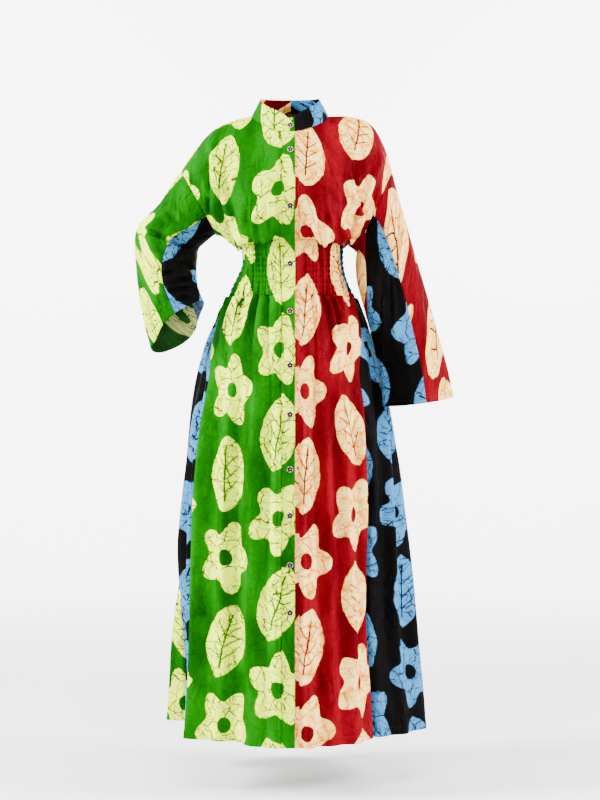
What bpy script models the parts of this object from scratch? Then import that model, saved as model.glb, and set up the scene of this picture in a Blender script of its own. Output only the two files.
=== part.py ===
"""Long shirt dress in three colour blocks, worn and hollow: stand collar, bodice with
dropped shoulders, shirred waist band, gathered skirt with contrast side gores, two
bell sleeves, a full-length placket and eleven buttons.

Metres, +Z up. The front faces -Y, and the wearer's left is +X. The origin is on the
button line, level with the point where shoulder and neck meet. Every cloth piece is a
thin wall between an outer and an inner skin of points. "Drop" is the distance below
the origin, and "turn" is the angle round the body in degrees: 0 at the centre front,
90 at the wearer's left, -90 at the wearer's right, 180 at the centre back.
"""

import math

import bmesh
import bpy
import numpy as np

# Driving sizes
WALL = 0.0014  # thickness of a cloth wall
SEAM_GAP = 0.0003  # clearance between neighbouring pieces
BAND_TOP = 0.310  # drop of the waist band's upper seam
BAND_FOOT = 0.4375  # drop of the waist band's lower seam
HIP = 0.640  # drop where the skirt reaches its hanging shape
HEM = 1.450  # drop of the hem

# Button stand: places across the centre front
STAND_EDGE = 0.0109  # free edge of the top strip
STAND_SEAM = -0.0187  # stitched edge of the top strip
STAND_MIDDLE = 0.0010  # a column between, under the buttons
RIGHT_EDGE = -0.0090  # where the right fronts end, under the top strip
UNDER_EDGE = -0.0087  # hidden edge of the under strip
LEFT_EDGE = 0.0205  # where the left fronts start
LEFT_SECOND = 0.0260  # the left fronts stay flat from their edge to here
STAND_LIFT = 0.0019  # the top strip lies this far out, on the under strip

# Buttons
BUTTON_RADIUS = 0.0070
BUTTON_THICK = 0.0026
BUTTON_SIDES = 12
BUTTON_SHANK = 0.0008  # the thread holds a button this far off the cloth
BUTTON_PROFILE = ((0.92, 0.0), (1.0, 0.5), (0.86, 1.0), (0.64, 0.72))  # width, height
BUTTON_DROPS = (0.044, 0.107, 0.236, 0.366, 0.477, 0.600, 0.710, 0.832, 0.935, 1.045, 1.150)

# Shirring and gathers
SHIRR_ROWS = 10  # puffed rows between the elastic threads
PUFF = 0.0026  # how far a puff stands out
PUCKER = 0.0005  # how far the cloth stands out along an elastic thread
GATHER = 0.0034  # how far a gather stands out at the band
GATHER_LENGTH = 0.115  # how far down the longest gathers run

# Collar
COLLAR_WALL = 0.0012
FACING_IN = 0.0017  # the facing lies this far inside the collar
COLLAR_ROWS = np.array([0, 0.5, 1.0])
COLLAR_STEPS = (2.0, 0.05)  # how far apart points are read for its normals

COLOURS = {
    "green": (0.03, 0.36, 0.01),
    "red": (0.52, 0.0, 0.02),
    "black": (0.012, 0.010, 0.010),
    "bone": (0.74, 0.66, 0.50),
}
CLOTH_ROUGHNESS = 0.62
BUTTON_ROUGHNESS = 0.35


class Table:
    """Rows of sizes under named columns, read smoothly along the first column."""

    def __init__(self, columns, rows):
        self.keys = np.array([row[0] for row in rows], float)
        self.values = {
            name: np.array([row[i] for row in rows], float)
            for i, name in enumerate(columns)
        }

    def read(self, name, where):
        return smooth(self.keys, self.values[name], where)

    def point(self, where, *names):
        return np.stack([self.read(name, where) for name in names], -1)


def smooth(keys, values, where):
    """A smooth curve through the values, read at each place."""
    where = np.clip(np.asarray(where, float), keys[0], keys[-1])
    slopes = np.gradient(values, keys)
    i = np.clip(np.searchsorted(keys, where, side="right") - 1, 0, len(keys) - 2)
    span = keys[i + 1] - keys[i]
    t = (where - keys[i]) / span
    return hermite(values[i], values[i + 1], slopes[i] * span, slopes[i + 1] * span, t)


def hermite(start, end, start_slope, end_slope, t):
    return (
        start * (2 * t**3 - 3 * t**2 + 1)
        + start_slope * (t**3 - 2 * t**2 + t)
        + end * (3 * t**2 - 2 * t**3)
        + end_slope * (t**3 - t**2)
    )


def ease(low, high, where):
    """0 below low, 1 above high, and smooth between them."""
    t = np.clip((where - low) / (high - low), 0, 1)
    return t * t * (3 - 2 * t)


def wobble(n):
    """A repeatable uneven value from 0 to 1 for the n-th fold."""
    return np.modf(np.abs(np.sin(np.asarray(n) * 12.9898 + 4.137) * 437.585))[0]


# The body of the dress at each drop: half width at the wearer's right and left, and
# depth in front and behind
GIRTH = Table(
    ("drop", "right", "left", "front", "back"),
    (
        (0.310, 0.1135, 0.1215, 0.104, 0.099),
        (0.340, 0.1105, 0.1208, 0.101, 0.096),
        (0.360, 0.1108, 0.1215, 0.102, 0.096),
        (0.382, 0.1187, 0.1257, 0.105, 0.099),
        (0.402, 0.1285, 0.1320, 0.110, 0.104),
        (0.420, 0.1370, 0.1400, 0.115, 0.109),
        (0.4375, 0.1430, 0.1490, 0.120, 0.114),
        (0.470, 0.1600, 0.1650, 0.132, 0.124),
        (0.500, 0.1745, 0.1780, 0.142, 0.133),
        (0.550, 0.1955, 0.1945, 0.155, 0.145),
        (0.610, 0.2110, 0.2110, 0.166, 0.156),
        (0.677, 0.2225, 0.2270, 0.174, 0.165),
        (0.800, 0.2380, 0.2390, 0.184, 0.177),
        (0.950, 0.2570, 0.2570, 0.193, 0.190),
        (1.100, 0.2730, 0.2760, 0.200, 0.200),
        (1.250, 0.2870, 0.2920, 0.205, 0.209),
        (1.380, 0.2970, 0.3060, 0.208, 0.215),
        (1.450, 0.3030, 0.3110, 0.209, 0.218),
    ),
)

# The skirt's folds and seams, round from the centre front over the wearer's right to
# the centre back, and on over the left: turn at the waist, turn from the hip down,
# place at the hem, and the drops between which each leaves the plain round shape
FOLD_COLUMNS = ("name", "waist_turn", "low_turn", "hem_x", "hem_y", "from_drop", "to_drop")
FOLDS = (
    ("centre_front", 0, 0, 0.006, -0.208, 0.80, 1.40),
    ("right_front_fold", -20, -16, -0.058, -0.203, 0.70, 1.40),
    ("right_front_dip", -42, -32, -0.120, -0.150, 0.62, 1.35),
    ("right_front_swell", -61, -47, -0.182, -0.130, 0.70, 1.35),
    ("right_front_seam", -79, -61, -0.237, -0.087, 0.80, 1.40),
    ("right_side_dip", -90, -88, -0.212, 0.010, 0.98, 1.45),
    ("right_back_seam", -101, -112, -0.2535, 0.100, 1.00, 1.45),
    ("right_back_swell", -114, -125, -0.304, 0.112, 0.80, 1.30),
    ("right_back_turn", -128, -138, -0.250, 0.172, 0.80, 1.40),
    ("right_back_dip", -145, -151, -0.165, 0.172, 0.62, 1.35),
    ("right_back_fold", -163, -166, -0.085, 0.222, 0.62, 1.35),
    ("centre_back", -180, -180, 0.000, 0.200, 0.70, 1.40),
    ("left_back_fold", -197, -195, 0.085, 0.222, 0.62, 1.35),
    ("left_back_dip", -214, -211, 0.150, 0.170, 0.62, 1.35),
    ("left_back_swell", -232, -227, 0.236, 0.178, 0.70, 1.35),
    ("left_back_seam", -259, -245, 0.290, 0.092, 0.80, 1.40),
    ("left_side_swell", -270, -271, 0.311, 0.018, 0.80, 1.40),
    ("left_side_fold", -278, -291, 0.268, -0.048, 0.75, 1.30),
    ("left_side_dip", -284, -304, 0.224, -0.076, 0.75, 1.25),
    ("left_front_seam", -289, -313, 0.186, -0.088, 0.75, 1.22),
    ("left_front_swell", -303, -320, 0.163, -0.142, 0.70, 1.30),
    ("left_front_dip", -322, -332, 0.109, -0.178, 0.62, 1.35),
    ("left_front_fold", -341, -346, 0.057, -0.204, 0.70, 1.40),
)
FOLD = {name: np.array([row[i] for row in FOLDS]) for i, name in enumerate(FOLD_COLUMNS)}
FOLD_COUNT = len(FOLDS)
FOLD_AT = {row[0]: i for i, row in enumerate(FOLDS)}


def ring(drop, turn):
    """A point of the plain round body."""
    turn = (np.asarray(turn, float) + 180) % 360 - 180
    across, ahead = np.sin(np.radians(turn)), np.cos(np.radians(turn))
    side = np.where(turn < 0, GIRTH.read("right", drop), GIRTH.read("left", drop))
    depth = np.where(ahead > 0, GIRTH.read("front", drop), GIRTH.read("back", drop))
    return np.stack([side * across, -depth * ahead, -drop + 0 * across], -1)


def fold_line(i, drop):
    """The line of the i-th fold or seam down the skirt."""
    i = np.mod(i, FOLD_COUNT)
    low = ease(BAND_FOOT, HIP, drop)
    turn = FOLD["waist_turn"][i] * (1 - low) + FOLD["low_turn"][i] * low
    plain, plain_hem = ring(drop, turn), ring(np.full_like(drop, HEM), FOLD["low_turn"][i])
    grown = ease(FOLD["from_drop"][i], FOLD["to_drop"][i], drop)
    plain[..., 0] += grown * (FOLD["hem_x"][i] - plain_hem[..., 0])
    plain[..., 1] += grown * (FOLD["hem_y"][i] - plain_hem[..., 1])
    return plain


def body(place, drop):
    """The band and skirt. Place counts folds: 0 is the centre front, 5 a right side
    fold, and so on round to the number of folds."""
    place, drop = np.broadcast_arrays(np.asarray(place, float), np.asarray(drop, float))
    i = np.floor(place).astype(int)
    t = (place - i)[..., None]
    before, start, end, after = (fold_line(i + step, drop) for step in (-1, 0, 1, 2))
    return hermite(start, end, (end - before) / 2, (after - start) / 2, t)


def even_places(start, end, count, drop=0.95):
    """Places from start to end with even steps along the cloth at one drop."""
    fine = np.linspace(start, end, 400)
    line = body(fine, np.full_like(fine, drop))
    run = np.append(0, np.cumsum(np.linalg.norm(np.diff(line, axis=0), axis=1)))
    return np.interp(np.linspace(0, run[-1], count + 1), run, fine)


def place_of_x(x, drop):
    """The place near the centre front where the body is at x."""
    fine = np.linspace(1.6, -1.6, 321)
    return float(np.interp(x, body(fine, np.full_like(fine, drop))[:, 0], fine))


# Collar and neckline by turn away from the centre front: drops of seam and top edge
NECK = Table(
    ("turn", "seam_drop", "top_drop"),
    (
        (0, 0.0610, 0.0250),
        (5, 0.0605, 0.0235),
        (12, 0.0577, 0.0165),
        (20, 0.0540, 0.0105),
        (45, 0.0400, -0.0035),
        (70, 0.0230, -0.0180),
        (90, 0.0105, -0.0290),
        (135, -0.0030, -0.0350),
        (180, -0.0060, -0.0370),
    ),
)
NECK_SEAM = {"right": 0.0905, "left": 0.0885, "front": 0.0780, "back": 0.0620}
NECK_TOP = {"right": 0.0705, "left": 0.0675, "front": 0.0600, "back": 0.0520}


def neck(turn, height):
    """The collar: height 0 is its seam and 1 its top edge."""
    turn, height = np.broadcast_arrays(np.asarray(turn, float), np.asarray(height, float))
    away = np.abs((turn + 180) % 360 - 180)
    signed = (turn + 180) % 360 - 180
    across, ahead = np.sin(np.radians(signed)), np.cos(np.radians(signed))
    low_side = np.where(signed < 0, NECK_SEAM["right"], NECK_SEAM["left"])
    top_side = np.where(signed < 0, NECK_TOP["right"], NECK_TOP["left"])
    low_depth = np.where(ahead > 0, NECK_SEAM["front"], NECK_SEAM["back"])
    top_depth = np.where(ahead > 0, NECK_TOP["front"], NECK_TOP["back"])
    side = low_side + (top_side - low_side) * height
    depth = low_depth + (top_depth - low_depth) * height
    low, top = NECK.read("seam_drop", away), NECK.read("top_drop", away)
    return np.stack([side * across, -depth * ahead, -(low + (top - low) * height)], -1)


# The bodice runs over stations: 0 at the centre front and back, 2 where the shoulder
# seam starts, 4 at the side seam, 6 at the sleeve seam; minus is the wearer's right
SHOULDER = Table(
    ("station", "x", "y", "drop"),
    (
        (-6, -0.2570, 0.0055, 0.1412),
        (-5, -0.2260, 0.004, 0.0930),
        (-4, -0.1830, 0.002, 0.0455),
        (-3, -0.1400, 0.000, 0.0230),
        (-2, -0.0905, 0.000, 0.0105),
        (0, 0.0, 0.000, 0.0105),
        (2, 0.0885, 0.000, 0.0105),
        (3, 0.1450, 0.000, 0.0125),
        (4, 0.1900, 0.000, 0.0320),
        (5, 0.2200, -0.002, 0.0840),
        (6, 0.2385, -0.003, 0.1435),
    ),
)
UNDERARM = Table(
    ("station", "x", "y", "drop"),
    (
        (-6, -0.1750, 0.0055, 0.2850),
        (-5, -0.1430, 0.004, 0.2970),
        (-4, -0.1135, 0.000, 0.3092),
        (0, 0.0, 0.000, 0.3092),
        (4, 0.1215, 0.000, 0.3092),
        (5, 0.1410, -0.001, 0.3120),
        (6, 0.1575, -0.003, 0.3220),
    ),
)
# How each line from top to bottom leaves the straight: swell forward or back, how
# rounded it starts, and how far and how low it blouses over the band
SWELL = Table(
    ("station", "front", "back", "round", "blouse", "sag"),
    (
        (-6, 0.058, 0.055, 1.00, 0.000, 0.000),
        (-5, 0.073, 0.070, 1.00, 0.003, 0.000),
        (-4, 0.085, 0.082, 0.95, 0.010, 0.004),
        (-3, 0.086, 0.084, 0.85, 0.015, 0.010),
        (-2, 0.079, 0.074, 0.70, 0.016, 0.012),
        (-1, 0.062, 0.050, 0.30, 0.010, 0.007),
        (-0.45, 0.0515, 0.039, 0.14, 0.000, 0.000),
        (0, 0.048, 0.034, 0.10, 0.000, 0.000),
        (0.45, 0.0515, 0.039, 0.14, 0.000, 0.000),
        (1, 0.062, 0.050, 0.30, 0.009, 0.006),
        (2, 0.079, 0.074, 0.70, 0.015, 0.009),
        (3, 0.086, 0.084, 0.85, 0.015, 0.010),
        (4, 0.085, 0.082, 0.95, 0.007, 0.002),
        (5, 0.072, 0.070, 1.00, 0.003, 0.000),
        (6, 0.058, 0.055, 1.00, 0.000, 0.000),
    ),
)
# Drape folds of the bodice from one end to the other: which face, station and share
# of the way down at each end, height and half width, in metres
DRAPE_COLUMNS = ("face", "station_a", "down_a", "station_b", "down_b", "height", "width")
DRAPES = (
    ("front", 5.15, 0.20, 4.60, 0.80, 0.014, 0.013),
    ("front", 4.30, 0.25, 3.70, 0.85, 0.007, 0.015),
    ("front", -4.20, 0.22, -4.10, 0.80, 0.013, 0.013),
    ("front", -5.20, 0.30, -4.80, 0.85, 0.008, 0.014),
    ("front", -2.30, 0.55, -2.60, 0.92, 0.006, 0.014),
    ("front", 2.40, 0.50, 2.70, 0.92, 0.006, 0.014),
    ("back", 4.90, 0.20, 4.40, 0.70, 0.009, 0.015),
    ("back", 3.60, 0.35, 3.10, 0.88, 0.007, 0.015),
    ("back", -4.70, 0.22, -4.20, 0.72, 0.009, 0.015),
    ("back", -3.40, 0.35, -3.00, 0.88, 0.007, 0.015),
)


def bodice_top(face, station):
    """The neckline and shoulder seam at each station."""
    to_neck = np.clip(station, -2, 2) * 45
    if face == "back":
        to_neck = 180 - to_neck
    shoulder = SHOULDER.point(station, "x", "y", "drop") * (1, 1, -1)
    return np.where((np.abs(station) > 2)[..., None], shoulder, neck(to_neck, 0 * to_neck))


def bodice_foot(face, station):
    """The band seam and underarm seam at each station."""
    to_band = np.clip(station, -4, 4) * 22.5
    if face == "back":
        to_band = 180 - to_band
    under = UNDERARM.point(station, "x", "y", "drop") * (1, 1, -1)
    waist = ring(np.full_like(station, BAND_TOP - SEAM_GAP), to_band)
    return np.where((np.abs(station) > 4)[..., None], under, waist)


def softened(edge, face, station):
    """An edge of the bodice with its corners rounded off, for the cloth away from it."""
    spread = ((-0.8, 0.12), (-0.4, 0.22), (0.0, 0.32), (0.4, 0.22), (0.8, 0.12))
    return sum(weight * edge(face, np.clip(station + step, -6, 6)) for step, weight in spread)


def bodice(face, station, down):
    """The front or back of the bodice: down is 0 at neck and shoulder, 1 at the band
    seam and underarm."""
    station, down = np.broadcast_arrays(np.asarray(station, float), np.clip(down, 0, 1))
    forward = 1.0 if face == "front" else -1.0
    top, foot = bodice_top(face, station), bodice_foot(face, station)
    inside = (1 - ease(5.0, 6.0, np.abs(station)))[..., None]
    away = ease(0, 0.30, down)[..., None] * inside
    top = top + away * (softened(bodice_top, face, station) - top)
    away = ease(0, 0.25, 1 - down)[..., None] * inside
    foot = foot + away * (softened(bodice_foot, face, station) - foot)
    roundness = SWELL.read("round", station)
    share = down * (1 - roundness) + (1 - np.cos(np.pi * down)) / 2 * roundness
    line = top + (foot - top) * share[..., None]
    bulge = np.sin(np.pi * down ** (1.15 - 0.15 * roundness))
    line[..., 1] -= forward * SWELL.read(face, station) * bulge
    lip = np.sin(np.pi * down**6)
    hang = np.sin(np.pi * np.clip(down / 0.98, 0, 1) ** 5.5)
    outward = foot / np.maximum(np.linalg.norm(foot[..., :2], axis=-1), 1e-6)[..., None]
    line[..., :2] += outward[..., :2] * (SWELL.read("blouse", station) * lip)[..., None]
    line[..., 2] -= SWELL.read("sag", station) * hang
    return line


def drape_height(face, station, down):
    """How far the drape folds lift the bodice."""
    across = 0.045  # metres a station
    along = 0.26  # metres from top to bottom
    lift = 0 * station
    for row in DRAPES:
        fold = dict(zip(DRAPE_COLUMNS, row))
        if fold["face"] != face:
            continue
        ax, ay = fold["station_a"] * across, fold["down_a"] * along
        bx, by = fold["station_b"] * across, fold["down_b"] * along
        length = (bx - ax) ** 2 + (by - ay) ** 2
        t = ((station * across - ax) * (bx - ax) + (down * along - ay) * (by - ay)) / length
        near = np.clip(t, 0, 1)
        gap = np.hypot(station * across - ax - near * (bx - ax), down * along - ay - near * (by - ay))
        taper = np.sin(np.pi * np.clip(0.1 + 0.8 * t, 0, 1))
        lift = lift + fold["height"] * np.exp(-((gap / fold["width"]) ** 2)) * taper
    return lift


# Sleeves: outer and inner edge of each flattened section, its middle's y, how deep it
# is in front and behind, how far its front and back trail towards the cuff, and the
# angles of the under piece's seams, from the outer edge round over the front
SLEEVE_COLUMNS = (
    "along", "out_x", "out_drop", "in_x", "in_drop", "mid_y", "front", "back",
    "front_trail", "back_trail", "front_seam", "back_seam",
)
RIGHT_SLEEVE = Table(
    SLEEVE_COLUMNS,
    (
        (0.00, -0.2570, 0.1412, -0.1750, 0.2850, 0.0055, 0.058, 0.055, 0.000, 0.000, 122, 196),
        (0.12, -0.2830, 0.1740, -0.1900, 0.2960, 0.0100, 0.060, 0.055, 0.000, 0.000, 118, 198),
        (0.24, -0.3060, 0.2120, -0.2050, 0.3080, 0.0130, 0.062, 0.054, 0.000, 0.000, 112, 202),
        (0.36, -0.3380, 0.2460, -0.2150, 0.3170, 0.0120, 0.064, 0.052, 0.000, 0.000, 106, 206),
        (0.46, -0.3600, 0.2760, -0.2190, 0.3270, 0.0060, 0.064, 0.050, 0.002, 0.000, 100, 210),
        (0.56, -0.3640, 0.3120, -0.2200, 0.3390, -0.0050, 0.062, 0.048, 0.004, 0.002, 94, 214),
        (0.66, -0.3590, 0.3540, -0.2210, 0.3550, -0.0200, 0.058, 0.046, 0.006, 0.006, 86, 218),
        (0.76, -0.3520, 0.4060, -0.2220, 0.3800, -0.0380, 0.054, 0.044, 0.004, 0.014, 84, 220),
        (0.86, -0.3420, 0.4610, -0.2190, 0.4080, -0.0550, 0.050, 0.042, -0.004, 0.024, 88, 222),
        (0.94, -0.3300, 0.5110, -0.2120, 0.4340, -0.0680, 0.048, 0.040, -0.014, 0.032, 92, 222),
        (1.00, -0.3160, 0.5560, -0.2030, 0.4560, -0.0780, 0.046, 0.038, -0.024, 0.040, 95, 222),
    ),
)
LEFT_SLEEVE = Table(
    SLEEVE_COLUMNS,
    (
        (0.00, 0.2385, 0.1435, 0.1575, 0.3220, -0.003, 0.058, 0.055, 0.000, 0.000, 100, 126),
        (0.14, 0.2560, 0.2130, 0.1530, 0.3540, -0.008, 0.058, 0.054, 0.000, 0.000, 84, 128),
        (0.28, 0.2750, 0.2850, 0.1560, 0.3990, -0.018, 0.056, 0.052, 0.000, 0.000, 76, 134),
        (0.42, 0.2960, 0.3620, 0.1670, 0.4420, -0.030, 0.054, 0.050, 0.000, 0.000, 74, 148),
        (0.56, 0.3180, 0.4420, 0.1830, 0.5010, -0.042, 0.052, 0.048, 0.000, 0.000, 75, 172),
        (0.70, 0.3390, 0.5240, 0.2000, 0.5640, -0.052, 0.050, 0.046, 0.000, 0.000, 77, 196),
        (0.85, 0.3580, 0.5980, 0.2120, 0.6250, -0.060, 0.048, 0.044, 0.000, 0.000, 78, 212),
        (1.00, 0.3720, 0.6700, 0.2190, 0.6900, -0.066, 0.046, 0.042, 0.006, 0.000, 80, 220),
    ),
)
SLEEVE_WAVES = 4  # soft lengthways folds round a cuff
SLEEVE_WAVE = 0.006  # their height at the cuff


def sleeve(table, angle, along):
    """A sleeve: angle 0 at its outer edge, 90 in front, 180 at its inner edge."""
    angle, along = np.broadcast_arrays(np.asarray(angle, float), np.clip(along, 0, 1))
    outer = table.point(along, "out_x", "mid_y", "out_drop") * (1, 1, -1)
    inner = table.point(along, "in_x", "mid_y", "in_drop") * (1, 1, -1)
    step = 0.02
    middle = (outer + inner) / 2
    ahead, behind = (
        (table.point(np.clip(along + d, 0, 1), "out_x", "mid_y", "out_drop")
         + table.point(np.clip(along + d, 0, 1), "in_x", "mid_y", "in_drop")) / 2 * (1, 1, -1)
        for d in (step, -step)
    )
    axis = ahead - behind
    axis = axis / np.linalg.norm(axis, axis=-1, keepdims=True)
    forward, turned = np.sin(np.radians(angle)), np.cos(np.radians(angle))
    front = forward > 0
    deep = np.where(front, table.read("front", along), table.read("back", along))
    trail = np.where(front, table.read("front_trail", along), table.read("back_trail", along))
    point = middle + (outer - inner) / 2 * turned[..., None]
    point[..., 1] -= deep * forward
    point += axis * (trail * np.abs(forward))[..., None]
    return point


def sleeve_ring_normal(table, angle):
    """The normal round a sleeve's upper seam, in the plane of that seam."""
    outer = table.point(0.0, "out_x", "mid_y", "out_drop") * (1, 1, -1)
    inner = table.point(0.0, "in_x", "mid_y", "in_drop") * (1, 1, -1)
    half = (outer - inner) / 2
    size = np.linalg.norm(half)
    forward, turned = np.sin(np.radians(angle)), np.cos(np.radians(angle))
    deep = np.where(forward > 0, table.read("front", 0.0), table.read("back", 0.0))
    out = turned[..., None] * half / size**2
    out[..., 1] -= forward / deep
    return out / np.linalg.norm(out, axis=-1, keepdims=True)


def joined_normal(table, station, up):
    """The normal of the wall where front and back share a seam, square to the seam and
    level between them: up along the shoulder, down along the underarm."""
    reach = 0.05
    along = table.point(station + reach, "x", "drop") - table.point(station - reach, "x", "drop")
    out = np.stack([along[..., 1], 0 * station, along[..., 0]], -1)
    out = out * (up * np.sign(out[..., 2:]))
    return out / np.linalg.norm(out, axis=-1, keepdims=True)


def bodice_seam_normals(face):
    """At each seam the wall takes the direction of the piece that it meets."""

    def settle(out, station, down):
        away = np.abs(station)
        to_neck, to_band = np.clip(station, -2, 2) * 45, np.clip(station, -4, 4) * 22.5
        if face == "back":
            to_neck, to_band = 180 - to_neck, 180 - to_band
        collar = normals(neck, to_neck, 0 * to_neck, *COLLAR_STEPS)
        waist_turn = np.radians(to_band)
        waist = np.stack([np.sin(waist_turn), -np.cos(waist_turn), 0 * to_band], -1)
        angle = 180 * down if face == "front" else 360 - 180 * down
        table = (RIGHT_SLEEVE, LEFT_SLEEVE)[int(station[0, -1] > 0)]
        for here, direction in (
            ((down == 0) & (away > 2), joined_normal(SHOULDER, station, 1)),
            ((down == 0) & (away <= 2), collar),
            ((down == 1) & (away > 4), joined_normal(UNDERARM, station, -1)),
            ((down == 1) & (away <= 4), waist),
            (away == 6, sleeve_ring_normal(table, angle)),
        ):
            out = np.where(here[..., None], direction, out)
        return out

    return settle


def normals(surface, u, v, u_step, v_step):
    """Unit normals of surface(u, v), from small steps to each side."""
    across = surface(u + u_step, v) - surface(u - u_step, v)
    down = surface(u, v + v_step) - surface(u, v - v_step)
    out = np.cross(across, down)
    return out / np.maximum(np.linalg.norm(out, axis=-1, keepdims=True), 1e-12)


def pulled_in(grid, sides="tblr"):
    """The grid with its edge points moved half a seam gap towards the middle."""
    grid = grid.copy()
    edges = {
        "t": (np.s_[0], np.s_[1]),
        "b": (np.s_[-1], np.s_[-2]),
        "l": (np.s_[:, 0], np.s_[:, 1]),
        "r": (np.s_[:, -1], np.s_[:, -2]),
    }
    for side in sides:
        edge, beside = edges[side]
        way = grid[beside] - grid[edge]
        length = np.maximum(np.linalg.norm(way, axis=-1, keepdims=True), 1e-9)
        grid[edge] = grid[edge] + way / length * SEAM_GAP / 2
    return grid


def ladder(mesh, first, second):
    """Triangles between two rows of vertices that may differ in number."""
    i = j = 0
    while i < len(first) - 1 or j < len(second) - 1:
        step_first = (i + 1) / max(len(first) - 1, 1) if i < len(first) - 1 else 9
        step_second = (j + 1) / max(len(second) - 1, 1) if j < len(second) - 1 else 9
        if step_first <= step_second:
            corners, i = (first[i], first[i + 1], second[j]), i + 1
        else:
            corners, j = (first[i], second[j + 1], second[j]), j + 1
        if len(set(corners)) == 3:
            mesh.faces.new(corners)


def skin(mesh, grid):
    """Vertices and triangles of one skin of a wall."""
    rows = [[mesh.verts.new(point) for point in row] for row in grid.tolist()]
    for r in range(len(rows) - 1):
        for c in range(len(rows[0]) - 1):
            a, b = rows[r][c], rows[r][c + 1]
            d, e = rows[r + 1][c], rows[r + 1][c + 1]
            if (r + c) % 2:
                mesh.faces.new((a, b, e))
                mesh.faces.new((a, e, d))
            else:
                mesh.faces.new((a, b, d))
                mesh.faces.new((b, e, d))
    return rows


def wall(name, outer, inner, colour):
    """A closed cloth wall between an outer and an inner grid of points."""
    mesh = bmesh.new()
    outside, inside = skin(mesh, outer), skin(mesh, inner)
    edges = (
        (outside[0], inside[0]),
        (outside[-1], inside[-1]),
        ([row[0] for row in outside], [row[0] for row in inside]),
        ([row[-1] for row in outside], [row[-1] for row in inside]),
    )
    for first, second in edges:
        ladder(mesh, first, second)
    bmesh.ops.recalc_face_normals(mesh, faces=mesh.faces)
    return finished(name, mesh, colour, CLOTH_ROUGHNESS)


def finished(name, mesh, colour, roughness):
    data = bpy.data.meshes.new(name)
    mesh.to_mesh(data)
    mesh.free()
    piece = bpy.data.objects.new(name, data)
    bpy.context.scene.collection.objects.link(piece)
    data.materials.append(material(colour, roughness))
    return piece


def material(colour, roughness):
    made = bpy.data.materials.get(colour) or bpy.data.materials.new(colour)
    made.use_nodes = True
    shader = made.node_tree.nodes["Principled BSDF"]
    shader.inputs["Base Color"].default_value = (*COLOURS[colour], 1)
    shader.inputs["Roughness"].default_value = roughness
    shader.inputs["Metallic"].default_value = 0.0
    return made


def panel(name, surface, u, v, steps, colour, facing=1, lift=None,
          sides="tblr", thick=WALL, plain_every=None, settle=None):
    """A wall on surface(u, v): u has a value or row of values for each column, v one
    for each row. Lift raises the outer points over a plain inside."""
    v_grid = np.broadcast_to(np.asarray(v, float)[:, None], (len(v), np.shape(u)[-1]))
    u_grid = np.broadcast_to(np.asarray(u, float), v_grid.shape)
    points = surface(u_grid, v_grid)
    out = facing * normals(surface, u_grid, v_grid, *steps)
    out[1:-1, 1:-1] = facet_normals(points, out)[1:-1, 1:-1]
    if settle:
        out = settle(out, u_grid, v_grid)
    raised = 0 if lift is None else lift[..., None]
    outer = pulled_in(points + out * (thick / 2 + raised), sides)
    inner = pulled_in(points - out * thick / 2, sides)
    if plain_every:
        rows, columns = (thinned(n, step) for n, step in zip(u_grid.shape, plain_every))
        inner = inner[np.ix_(rows, columns)]
    return wall(name, outer, inner, colour)


def facet_normals(points, out):
    """Normals of the faceted skin itself, on the same side as the given ones."""
    faceted = np.cross(np.gradient(points, axis=1), np.gradient(points, axis=0))
    faceted /= np.maximum(np.linalg.norm(faceted, axis=-1, keepdims=True), 1e-12)
    return faceted * np.sign(np.sum(faceted * out, -1, keepdims=True))


def thinned(count, step):
    """Every step-th place of a row, with its last."""
    return np.append(np.arange(0, count - 1, step), count - 1)


def gathers(places, drops):
    """Gathers below the band: every other column stands out, unevenly."""
    column = np.arange(len(places))
    uneven = 0.55 + 0.45 * wobble(column // 2 + np.round(places[0]) * 7)
    high = (column % 2) * uneven
    reach = GATHER_LENGTH * (0.55 + 0.45 * wobble(column // 2 + 3))
    fade = np.clip(1 - (drops[:, None] - BAND_FOOT) / reach, 0, 1)
    ends = np.ones(len(places))
    ends[0] = ends[-1] = 0
    return GATHER * high * fade * ends


def puffs(places, drops):
    """Shirring: rows of puffs between the elastic threads, with puckers down them."""
    row, column = np.arange(len(drops))[:, None], np.arange(len(places))[None, :]
    puff = np.where(row % 2 == 1, PUFF, PUCKER)
    uneven = 0.75 + 0.25 * wobble(column + 5 * (row // 2))
    high = np.where(column % 2 == 1, 1.0, 0.25) * uneven
    lift = puff * high
    lift[0] = lift[-1] = 0
    lift[1] *= 0.5
    lift[:, 0] = lift[:, -1] = 0
    return lift


# Rows down the skirt
SKIRT_DROPS = np.array(
    [BAND_FOOT, 0.448, 0.468, 0.495, 0.530, 0.575, 0.640, 0.740, 0.880, 1.03, 1.18, 1.32, HEM]
)
# Side and back pieces of the band and skirt: name, first and last seam, columns, colour
PANELS = (
    ("side_right", "right_front_seam", "right_back_seam", 8, "black"),
    ("back_right", "right_back_seam", "centre_back", 14, "green"),
    ("back_left", "centre_back", "left_back_seam", 14, "red"),
    ("side_left", "left_back_seam", "left_front_seam", 8, "black"),
)
FRONT_COLUMNS = 12


def front_places(wearers_right, drops):
    """Places of the columns of a front piece, for each drop: the first two columns stay
    at one x along the button stand, and the rest spread evenly to the side seam."""
    if wearers_right:
        edge_x, second_x, seam = RIGHT_EDGE, STAND_SEAM, FOLD_AT["right_front_seam"]
    else:
        edge_x, second_x, seam = LEFT_EDGE, LEFT_SECOND, FOLD_AT["left_front_seam"] - FOLD_COUNT
    rows = []
    for drop in drops:
        second = place_of_x(second_x, drop)
        rows.append(np.append(place_of_x(edge_x, drop), even_places(second, seam, FRONT_COLUMNS)))
    return np.array(rows)


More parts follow.
